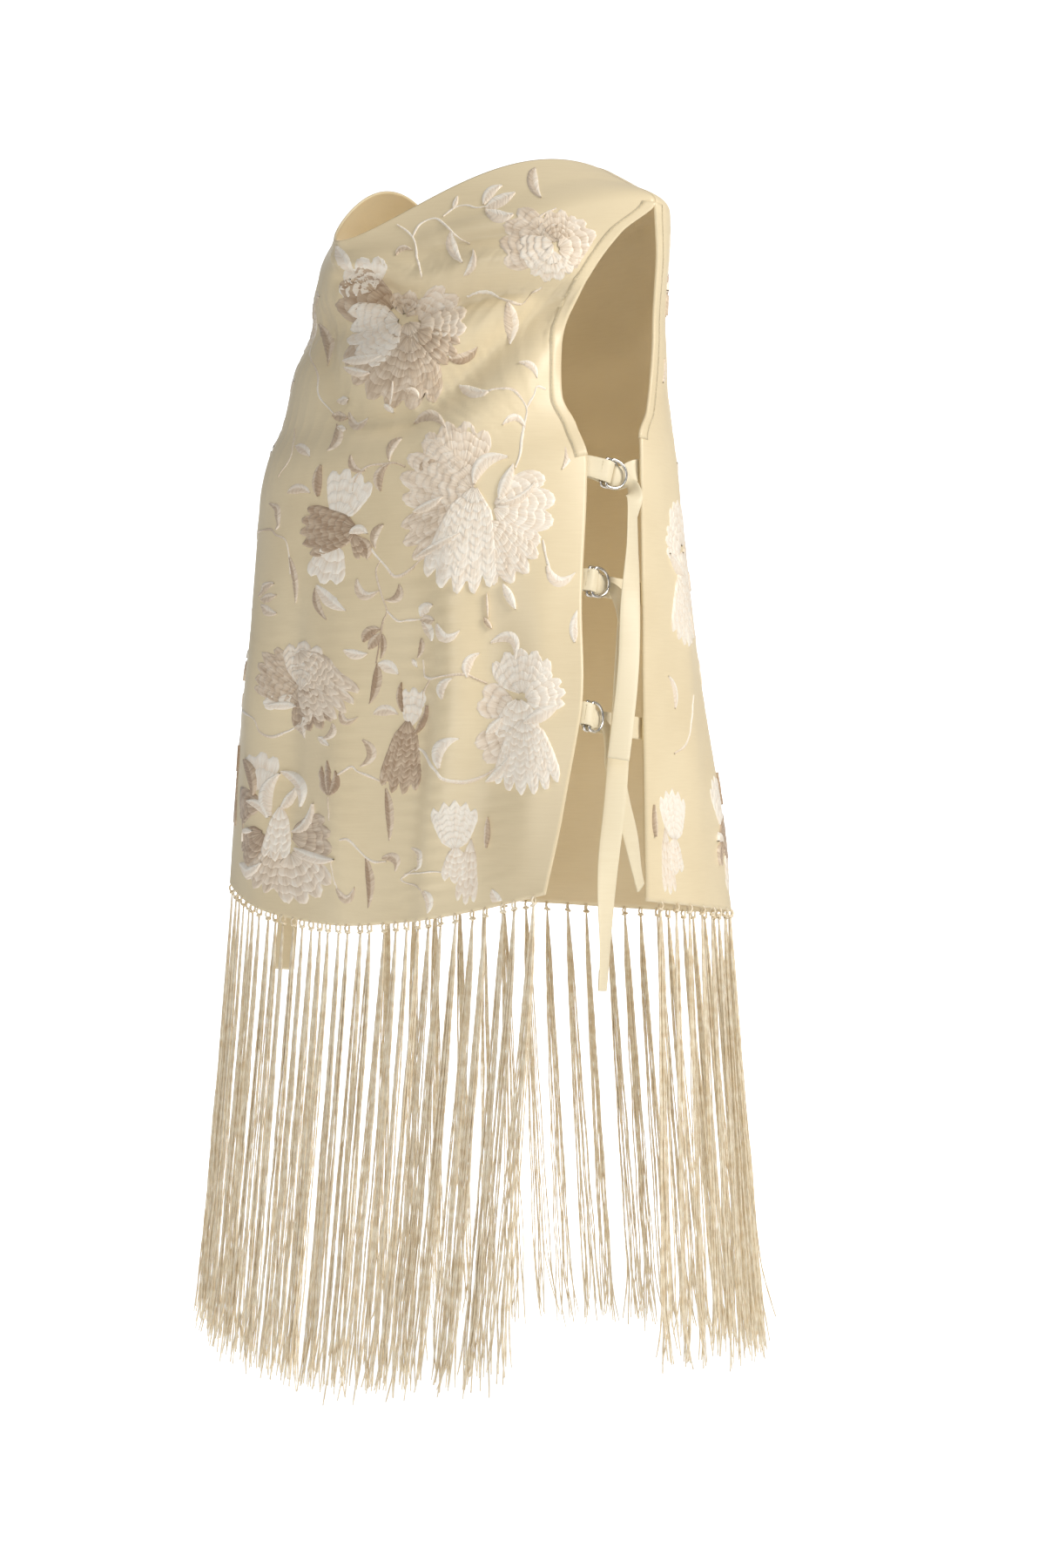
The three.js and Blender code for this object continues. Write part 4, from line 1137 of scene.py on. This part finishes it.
# One row is one fan, in millimetres from the flower's middle as it shows:
# x, y, aim, spread (degrees), reach, start, tiers, lobes, painted light (low for painted shade, high for
# painted highlight), lift.
GREAT_BLOOM = [
    [-30, 30, 122, 110, 15, 3, 2, 2, 0.2, 0.0],
    [-10, 24, 92, 86, 42, 6, 5, 4, 0.6, 0.0],
    [2, 14, 160, 66, 56, 8, 8, 4, 0.6, 0.2],
    [2, 2, 212, 52, 58, 10, 8, 4, 0.5, 0.2],
    [14, 4, -4, 92, 46, 6, 6, 4, 0.78, 0.2],
    [8, -6, -58, 62, 50, 6, 8, 4, 0.7, 0.4],
    [2, 20, -100, 44, 80, 8, 12, 5, 0.84, 0.8],
]
COWL_BLOOM = [
    [-6, 34, 128, 120, 27, 5, 4, 4, 0.92, 0.0],
    [18, 12, -70, 150, 30, 3, 4, 4, 0.5, 0.15],
    [8, 20, 152, 66, 44, 5, 5, 3, 0.16, 0.1],
    [20, 4, -114, 100, 56, 8, 8, 6, 0.34, 0.2],
    [26, 10, 28, 84, 36, 6, 5, 4, 0.62, 0.3],
    [24, 6, -30, 50, 34, 6, 4, 3, 0.26, 0.4],
    [14, 12, 200, 84, 42, 6, 6, 5, 0.86, 0.6],
    [16, 16, 75, 110, 20, 4, 3, 3, 0.45, 0.7],
]
BOWL_BLOOM = [
    [0, 4, 165, 90, 38, 5, 5, 4, 0.52, 0.0],
    [4, 6, 92, 90, 25, 4, 4, 4, 0.55, 0.1],
    [4, 2, 12, 90, 31, 5, 4, 4, 0.62, 0.2],
    [0, 2, -100, 140, 23, 4, 3, 5, 0.8, 0.4],
    [2, 6, 200, 70, 26, 4, 4, 3, 0.78, 0.5],
    [4, 8, 80, 120, 13, 3, 3, 3, 0.42, 0.7],
]
CRESTED_BLOOM = [
    [6, 2, 72, 62, 38, 5, 4, 4, 0.92, 0.0],
    [4, -14, -108, 62, 32, 6, 3, 3, 0.86, 0.1],
    [16, -8, -60, 50, 20, 5, 3, 3, 0.16, 0.2],
    [20, -4, 184, 62, 42, 6, 7, 5, 0.12, 0.5],
]
SHELL_BLOOM = [
    [-2, -12, 140, 62, 46, 5, 8, 5, 0.34, 0.0],
    [-6, -10, 190, 30, 28, 4, 2, 1, 0.8, 0.1],
    [2, 2, -80, 60, 36, 5, 6, 4, 0.12, 0.2],
    [-4, 26, -58, 52, 58, 6, 10, 6, 0.52, 0.5],
    [-2, -4, 86, 56, 36, 5, 6, 3, 0.72, 0.6],
]
TALL_BLOOM = [
    [-4, 8, 160, 70, 28, 4, 3, 2, 0.62, 0.0],
    [-4, -10, 208, 62, 30, 4, 3, 2, 0.58, 0.0],
    [2, 18, 92, 96, 34, 5, 5, 5, 0.84, 0.1],
    [4, 14, 22, 70, 30, 5, 4, 4, 0.86, 0.2],
    [0, 16, -95, 70, 34, 5, 5, 3, 0.86, 0.4],
    [4, 2, -88, 58, 56, 6, 10, 6, 0.84, 0.6],
]
TULIP_BUD = [
    [3, 10, 84, 44, 30, 5, 4, 3, 0.9, 0.0],
    [2, 18, -98, 36, 56, 8, 12, 4, 0.14, 0.4],
]
HEM_BLOOM = [
    [-8, 22, 86, 62, 30, 5, 2, 3, 0.86, 0.0],
    [-6, 12, 168, 64, 27, 5, 4, 3, 0.14, 0.1],
    [-4, -6, 212, 62, 34, 5, 5, 4, 0.12, 0.1],
    [14, -9, 4, 62, 37, 6, 4, 3, 0.3, 0.2],
    [6, -14, -112, 54, 38, 6, 5, 4, 0.5, 0.2],
    [14, -20, -66, 72, 40, 6, 5, 4, 0.62, 0.4],
    [8, 14, -97, 34, 42, 6, 6, 3, 0.84, 0.8],
]
CUP_BLOOM = [
    [13, -2, -95, 22, 50, 5, 7, 3, 0.7, 0.0],
    [2, -8, -92, 50, 28, 4, 5, 3, 0.8, 0.3],
    [1, -12, 90, 66, 36, 5, 7, 5, 0.95, 0.2],
]
# Leaves over the flowers: x0, y0, x1, y1, width, bend, painted light.
GREAT_LEAVES = [
    [1, 20, 25, 39, 11, 8, 0.85], [19, 9, 29, 34, 10, 0, 0.9], [20, 6, 44, 21, 7, -4, 0.8],
    [-42, 0, -21, 11, 8, -1, 0.8], [-40, -33, -9, -15, 8, 0, 0.8], [22, -52, 31, -70, 7, 0, 0.95],
    [10, -58, 11, -76, 2, 0, 0.6], [8, -76, 14, -84, 4, 0, 0.4],
]
COWL_LEAVES = [
    [-27, -16, 0, -12, 8, -1, 0.95], [-26, -20, -8, -24, 7, -2, 0.8], [8, -30, 6, -48, 2, 0, 0.7],
    [2, -46, 8, -52, 5, 0, 0.9], [17, -36, 26, -42, 6, 2, 0.6],
]
TALL_LEAVES = [[4, -2, 28, 11, 11, 0, 0.92], [-24, -10, -12, 2, 8, 0, 0.9], [-24, -44, -6, -26, 8, -2, 0.9]]
HEM_LEAVES = [
    [-18, 46, -12, 20, 8, 2, 0.1], [0, 5, 7, 36, 11, 7, 0.9], [8, 37, 22, 12, 9, 7, 0.85],
    [8, 10, 20, 26, 8, 0, 0.85], [16, -6, 34, 16, 9, -6, 0.8], [18, -18, 46, -26, 9, -3, 0.85],
    [-32, -8, -14, -6, 8, 0, 0.95], [-26, -38, -6, -28, 8, -2, 0.9], [-16, 16, -2, 4, 8, 3, 0.85],
]
SHELL_LEAVES = [[-28, -16, -4, -15, 6, 0, 0.95]]
CRESTED_LEAVES = [[-8, 19, -6, 41, 7, 2, 0.25], [15, -8, 27, -8, 8, 3, 0.9], [21, -11, 27, -26, 7, 3, 0.2]]
TULIP_LEAVES = [[-2, 22, -3, 43, 5, 2, 0.2], [6, 6, 16, 26, 5, -2, 0.15]]
CUP_LEAVES = [[24, -10, 25, 12, 5, 0, 0.4]]

# Flowers: picture x, y, fans, leaves.
FRONT_FLOWERS = [
    [440, 390, COWL_BLOOM, COWL_LEAVES],
    [633, 290, BOWL_BLOOM, []],
    [543, 588, GREAT_BLOOM, GREAT_LEAVES],
    [380, 600, CRESTED_BLOOM, CRESTED_LEAVES],
    [350, 786, SHELL_BLOOM, SHELL_LEAVES],
    [597, 827, TALL_BLOOM, TALL_LEAVES],
    [467, 852, TULIP_BUD, TULIP_LEAVES],
    [312, 945, HEM_BLOOM, HEM_LEAVES],
    [521, 957, CUP_BLOOM, CUP_LEAVES],
]
# Leaves and curls: picture x, y of the two ends, width and bend in millimetres, painted light.
FRONT_LEAVES = [
    [455, 294, 474, 288, 5, 5, 0.5], [519, 266, 532, 302, 9, -5, 0.8], [533, 316, 544, 288, 6, -4, 0.75],
    [521, 240, 526, 226, 4, 0, 0.85], [556, 236, 577, 214, 8, 4, 0.85], [558, 240, 592, 222, 10, 0, 0.8],
    [558, 242, 590, 247, 10, -4, 0.8], [614, 192, 622, 228, 9, -5, 0.6], [388, 282, 408, 312, 10, -3, 0.95],
    [515, 412, 548, 398, 9, -5, 0.3], [583, 348, 586, 396, 12, 2, 0.65], [597, 417, 616, 434, 6, 5, 0.8],
    [528, 443, 562, 450, 9, -4, 0.85], [477, 487, 512, 492, 9, 10, 0.5], [388, 462, 402, 458, 7, 0, 0.8],
    [383, 478, 400, 480, 8, 0, 0.4], [388, 492, 398, 494, 6, 0, 0.9], [402, 474, 424, 480, 7, -11, 0.6],
    [577, 488, 603, 492, 6, 9, 0.8], [368, 372, 378, 425, 9, 5, 0.35], [388, 488, 377, 518, 8, 5, 0.4],
    [338, 512, 359, 526, 8, 2, 0.7], [404, 523, 420, 541, 6, -6, 0.4], [462, 504, 448, 530, 7, -5, 0.45],
    [438, 564, 447, 533, 8, 6, 0.35], [332, 566, 358, 566, 8, 4, 0.6], [311, 578, 318, 608, 7, 8, 0.4],
    [334, 640, 341, 692, 5, 2, 0.35], [441, 602, 432, 630, 7, -5, 0.4], [411, 665, 436, 678, 8, -11, 0.6],
    [459, 671, 443, 689, 7, 7, 0.35], [365, 672, 398, 701, 10, -3, 0.85], [364, 675, 376, 711, 6, -4, 0.3],
    [294, 688, 318, 668, 7, 3, 0.5], [296, 690, 323, 682, 7, 0, 0.5], [298, 692, 320, 704, 8, -3, 0.6],
    [485, 708, 498, 694, 9, 3, 0.9], [484, 712, 500, 712, 9, 0, 0.5], [486, 714, 497, 736, 8, 2, 0.75],
    [503, 716, 528, 724, 8, -11, 0.85], [564, 738, 592, 757, 9, 15, 0.8], [537, 778, 551, 750, 8, 6, 0.8],
    [396, 746, 423, 750, 8, -3, 0.8], [418, 737, 438, 722, 9, 4, 0.2], [424, 745, 438, 726, 8, 0, 0.3],
    [440, 728, 438, 756, 5, 2, 0.2], [485, 733, 480, 756, 5, 2, 0.3], [474, 757, 480, 766, 4, 0, 0.9],
    [645, 486, 645, 539, 9, 8, 0.7], [660, 738, 667, 697, 8, 3, 0.9], [628, 650, 660, 658, 9, -12, 0.85],
    [434, 762, 425, 808, 8, 3, 0.15], [435, 762, 458, 774, 10, 2, 0.85], [509, 803, 520, 779, 7, 6, 0.85],
    [430, 820, 458, 820, 9, 4, 0.65], [393, 812, 412, 823, 6, -10, 0.45], [383, 830, 371, 848, 6, 5, 0.5],
    [367, 846, 380, 856, 6, 0, 0.85], [340, 835, 354, 850, 9, 5, 0.6], [345, 835, 362, 822, 8, 2, 0.9],
    [378, 912, 371, 880, 7, 3, 0.15], [379, 912, 377, 873, 6, 0, 0.2], [380, 912, 386, 885, 7, -3, 0.15],
    [444, 905, 448, 965, 7, 2, 0.25], [417, 849, 414, 880, 8, 10, 0.4], [505, 882, 527, 848, 10, 10, 0.95],
    [440, 985, 455, 1000, 8, 8, 0.4], [421, 985, 424, 1042, 7, 3, 0.2], [388, 1020, 408, 1018, 7, -11, 0.5],
    [474, 973, 478, 1000, 6, 8, 0.7], [488, 1022, 492, 1048, 7, 3, 0.8], [566, 1021, 580, 1042, 8, -2, 0.85],
]
# Stems: thickness, painted light, then picture x, y along each.
FRONT_STEMS = [
    [2.0, 0.8, 457, 257, 468, 264, 474, 276, 480, 296, 485, 318],
    [2.2, 0.85, 474, 272, 481, 258, 495, 251, 508, 253, 522, 270, 542, 282],
    [2.0, 0.85, 511, 250, 523, 238, 538, 237, 549, 240, 560, 238],
    [2.4, 0.8, 536, 342, 550, 336, 563, 335, 578, 344, 597, 350, 612, 338, 625, 330],
    [2.0, 0.6, 617, 262, 624, 250, 642, 240],
    [2.4, 0.85, 590, 540, 599, 515, 602, 490, 602, 468, 590, 449, 575, 444, 560, 449],
    [2.0, 0.85, 602, 468, 610, 452, 618, 445, 632, 448],
    [2.0, 0.8, 514, 384, 512, 396, 516, 412],
    [2.0, 0.75, 365, 372, 360, 395, 363, 425, 366, 455, 380, 469, 388, 480],
    [2.2, 0.35, 340, 495, 335, 522, 322, 550],
    [2.4, 0.4, 404, 562, 411, 549, 425, 538, 445, 530, 455, 531, 464, 537],
    [2.4, 0.5, 298, 612, 310, 607, 318, 613, 330, 620, 335, 640, 336, 660],
    [2.8, 0.75, 400, 618, 420, 622, 433, 635, 445, 650, 457, 659, 470, 652, 486, 641],
    [2.0, 0.3, 437, 645, 433, 660, 438, 680, 443, 700, 442, 716, 437, 735, 434, 762],
    [2.2, 0.7, 443, 703, 455, 713, 470, 712, 484, 709],
    [2.2, 0.8, 624, 618, 625, 640, 630, 655],
    [2.2, 0.6, 487, 757, 489, 776, 495, 778, 510, 774, 530, 775, 545, 778, 560, 786],
    [2.2, 0.25, 494, 780, 488, 792, 486, 806],
    [2.6, 0.75, 279, 815, 290, 826, 300, 840, 314, 847, 330, 842, 346, 832],
    [2.2, 0.3, 379, 912, 378, 926, 379, 942],
    [2.4, 0.6, 385, 893, 395, 885, 405, 882, 413, 883, 422, 892, 435, 893, 442, 902],
    [3.4, 0.85, 478, 856, 490, 866, 499, 881, 511, 894, 527, 900, 542, 898, 560, 888, 578, 878],
    [2.4, 0.65, 390, 963, 400, 963, 412, 973, 422, 985, 432, 990, 444, 987],
    [1.8, 0.5, 381, 985, 383, 1005, 390, 1022],
    [2.0, 0.55, 478, 998, 468, 1003, 461, 1008, 470, 1015, 481, 1018, 489, 1028],
    [1.4, 0.75, 464, 1004, 482, 1003, 500, 1001, 520, 1000],
]
# The far side of the front, beyond what the camera sees: flowers, stems and leaves as on the back.
FAR_FLOWERS = [
    [-0.62, 0.78, BOWL_BLOOM, []],
    [-0.7, 0.57, TALL_BLOOM, TALL_LEAVES],
    [-0.84, 0.36, CRESTED_BLOOM, CRESTED_LEAVES],
    [-0.86, 0.17, TULIP_BUD, TULIP_LEAVES],
]
FAR_STEMS = [
    [2.4, 0.7, -0.62, 0.74, -0.52, 0.68, -0.56, 0.63, -0.68, 0.62],
    [2.4, 0.6, -0.72, 0.47, -0.8, 0.44, -0.76, 0.4, -0.83, 0.38],
    [2.2, 0.7, -0.86, 0.3, -0.78, 0.27, -0.84, 0.24, -0.86, 0.22],
]
FAR_LEAVES = [
    [-0.5, 0.68, 20, 20, 8, 4, 0.8], [-0.5, 0.6, 200, 22, 9, -4, 0.5], [-0.8, 0.66, 70, 22, 9, 3, 0.7],
    [-0.9, 0.5, 100, 20, 8, 4, 0.4], [-0.72, 0.42, -20, 20, 8, -4, 0.8], [-0.92, 0.26, 80, 22, 9, 4, 0.6],
    [-0.74, 0.28, 30, 18, 7, -3, 0.85], [-0.42, 0.83, 30, 20, 8, 4, 0.6],
]


def lay_plain(work, panel, stems, leaves, flowers):
    """Lays rows whose places are across, up on the panel."""
    for thick, painted_light, *run in stems:
        work.stem(list(zip(run[::2], run[1::2])), thick, painted_light)
    for across, up, aim, length, width, bend, painted_light in leaves:
        turn = math.radians(aim)
        ends = [0, 0, length * math.cos(turn), length * math.sin(turn)]
        work.leaf(cloth_frame(panel, across, up), *ends, width, bend, painted_light)
    for across, up, fans, leaves_over in flowers:
        frame = cloth_frame(panel, across, up)
        for fan in fans:
            work.fan(frame, *fan)
        for leaf in leaves_over:
            work.leaf(frame, *leaf, lift=1.1)


def front_embroidery():
    work, sight = Needlework(front, 5), Sight(front)
    for thick, painted_light, *run in FRONT_STEMS:
        work.stem([sight.find(x, y) for x, y in zip(run[::2], run[1::2])], thick, painted_light)
    for x0, y0, x1, y1, width, bend, painted_light in FRONT_LEAVES:
        mid_x, mid_y = (x0 + x1) / 2, (y0 + y1) / 2
        frame = sight.frame(mid_x, mid_y)
        ends = [(x0 - mid_x) * PIXEL_MM, (mid_y - y0) * PIXEL_MM,
                (x1 - mid_x) * PIXEL_MM, (mid_y - y1) * PIXEL_MM]
        work.leaf(frame, *ends, width, bend * PIXEL_MM * 1.2, painted_light)
    for x, y, fans, leaves in FRONT_FLOWERS:
        frame = sight.frame(x, y)
        for fan in fans:
            work.fan(frame, *fan)
        for leaf in leaves:
            work.leaf(frame, *leaf, lift=1.1)
    lay_plain(work, front, FAR_STEMS, FAR_LEAVES, FAR_FLOWERS)
    return work.build("front_embroidery")


# Flowers on the back: across, up, fans, leaves.
BACK_FLOWERS = [
    [0.0, 0.74, GREAT_BLOOM, GREAT_LEAVES],
    [-0.62, 0.45, TALL_BLOOM, TALL_LEAVES],
    [0.7, 0.42, TALL_BLOOM, TALL_LEAVES],
    [0.1, 0.36, SHELL_BLOOM, SHELL_LEAVES],
    [-0.3, 0.12, HEM_BLOOM, HEM_LEAVES],
    [0.5, 0.12, CRESTED_BLOOM, CRESTED_LEAVES],
    [-0.6, 0.8, BOWL_BLOOM, []],
    [0.6, 0.8, CRESTED_BLOOM, CRESTED_LEAVES],
    [-0.82, 0.14, TULIP_BUD, TULIP_LEAVES],
    [0.88, 0.12, CUP_BLOOM, CUP_LEAVES],
]
# Stems on the back: thickness, painted light, then across, up along each.
BACK_STEMS = [
    [2.4, 0.7, 0.0, 0.62, 0.1, 0.56, 0.05, 0.5, 0.12, 0.44],
    [2.4, 0.6, -0.05, 0.6, -0.25, 0.56, -0.35, 0.5, -0.55, 0.52],
    [2.4, 0.7, 0.12, 0.56, 0.3, 0.56, 0.42, 0.5, 0.62, 0.52],
    [2.2, 0.5, 0.05, 0.3, -0.05, 0.24, -0.2, 0.22, -0.28, 0.18],
    [2.2, 0.7, 0.1, 0.3, 0.2, 0.22, 0.32, 0.24, 0.45, 0.18],
    [2.2, 0.6, -0.62, 0.33, -0.72, 0.28, -0.82, 0.24],
    [2.2, 0.7, 0.7, 0.3, 0.78, 0.24, 0.86, 0.22],
    [2.2, 0.7, 0.25, 0.82, 0.4, 0.86, 0.5, 0.82],
    [2.2, 0.7, -0.22, 0.82, -0.36, 0.86, -0.5, 0.84],
]
# Leaves on the back: across, up, aim, length, width, bend, painted light.
BACK_LEAVES = [
    [-0.2, 0.58, 60, 20, 8, 6, 0.8], [0.24, 0.58, 120, 22, 8, -6, 0.7], [0.36, 0.5, -70, 22, 8, 6, 0.4],
    [-0.4, 0.5, -110, 20, 8, -6, 0.5], [-0.1, 0.24, 80, 20, 8, 5, 0.7], [0.26, 0.25, 60, 20, 8, -5, 0.3],
    [-0.7, 0.29, 150, 22, 8, 6, 0.8], [0.3, 0.88, 40, 22, 8, 5, 0.8], [-0.32, 0.89, 140, 20, 8, -5, 0.6],
    [-0.3, 0.38, 30, 24, 9, 8, 0.3], [0.42, 0.34, -40, 24, 9, 8, 0.7], [-0.2, 0.44, 200, 20, 8, 5, 0.8],
    [0.1, 0.1, 75, 26, 9, 8, 0.6], [0.0, 0.2, -80, 22, 8, -6, 0.8], [-0.6, 0.24, -70, 22, 8, 6, 0.3],
    [0.1, 0.93, 20, 24, 8, 6, 0.7], [-0.15, 0.95, 160, 22, 8, -5, 0.5], [0.86, 0.64, 100, 18, 7, 4, 0.7],
    [0.84, 0.28, 70, 22, 8, 6, 0.8], [-0.86, 0.62, 80, 18, 7, -4, 0.7],
]


def back_embroidery():
    work = Needlework(back, 9)
    lay_plain(work, back, BACK_STEMS, BACK_LEAVES, BACK_FLOWERS)
    return work.build("back_embroidery")


front_work, back_work = front_embroidery(), back_embroidery()
keep(front_work, "thread")
keep(back_work, "thread")

# ---------------------------------------------------------------- camera, floor and light
camera_data = bpy.data.cameras.new("camera")
camera_data.sensor_fit = "VERTICAL"
camera_data.sensor_height = 36
camera_data.lens = camera_data.sensor_height * LENS_PIXELS / (2 * CENTRE_Y)
camera_data.clip_end = 50
camera = bpy.data.objects.new("camera", camera_data)
camera.location = EYE_PLACE
camera.rotation_euler = (math.radians(90), 0, TURN)
bpy.context.scene.collection.objects.link(camera)
bpy.context.scene.camera = camera

FLOOR_Z = -1.35
STAGE_NEAR, STAGE_FAR, STAGE_HALF, STAGE_TOP = -1.6, 5, 1.4, 1.6


def stage_sheet(name, corners, glow):
    mesh = bpy.data.meshes.new(name)
    mesh.from_pydata(corners, [], [(0, 1, 2, 3)])
    obj = bpy.data.objects.new(name, mesh)
    bpy.context.scene.collection.objects.link(obj)
    material, _, shader = new_material(name + "_paint")
    settle(shader, Base_Color=(0.95, 0.95, 0.95, 1), Roughness=0.9, Emission_Color=(1, 1, 1, 1),
           Emission_Strength=glow)
    mesh.materials.append(material)


def spot(right, ahead, height):
    return tuple(RIGHT * right + AHEAD * ahead + Vector((0, 0, height)))


near, far = [[spot(side, ahead, FLOOR_Z) for side in (-STAGE_HALF, STAGE_HALF)]
             for ahead in (STAGE_NEAR, STAGE_FAR)]
top = [spot(side, STAGE_FAR, STAGE_TOP) for side in (STAGE_HALF, -STAGE_HALF)]
stage_sheet("floor", near + far[::-1], 0.62)
stage_sheet("backdrop", far + top, 1.0)

world = bpy.data.worlds.new("studio")
world.use_nodes = True
world.node_tree.nodes["Background"].inputs["Color"].default_value = (1, 1, 1, 1)
world.node_tree.nodes["Background"].inputs["Strength"].default_value = 0.3
bpy.context.scene.world = world

MIDDLE = Vector((0, 0, -0.35))  # what the lamps point at


def softbox(name, right, ahead, height, size, power, colour):
    place = MIDDLE + RIGHT * right + AHEAD * ahead + Vector((0, 0, height))
    data = bpy.data.lights.new(name, "AREA")
    data.shape = "RECTANGLE"
    data.size, data.size_y = size
    data.energy = power
    data.color = colour
    lamp = bpy.data.objects.new(name, data)
    lamp.location = place
    lamp.rotation_euler = (MIDDLE - place).to_track_quat("-Z", "Y").to_euler()
    bpy.context.scene.collection.objects.link(lamp)


softbox("key", 2.0, -1.1, 1.3, (0.9, 1.4), 50, (1.0, 0.96, 0.9))
softbox("fill", -0.9, -1.9, 0.3, (0.7, 1.8), 11, (1.0, 0.97, 0.93))
bpy.context.scene.view_settings.view_transform = "Standard"
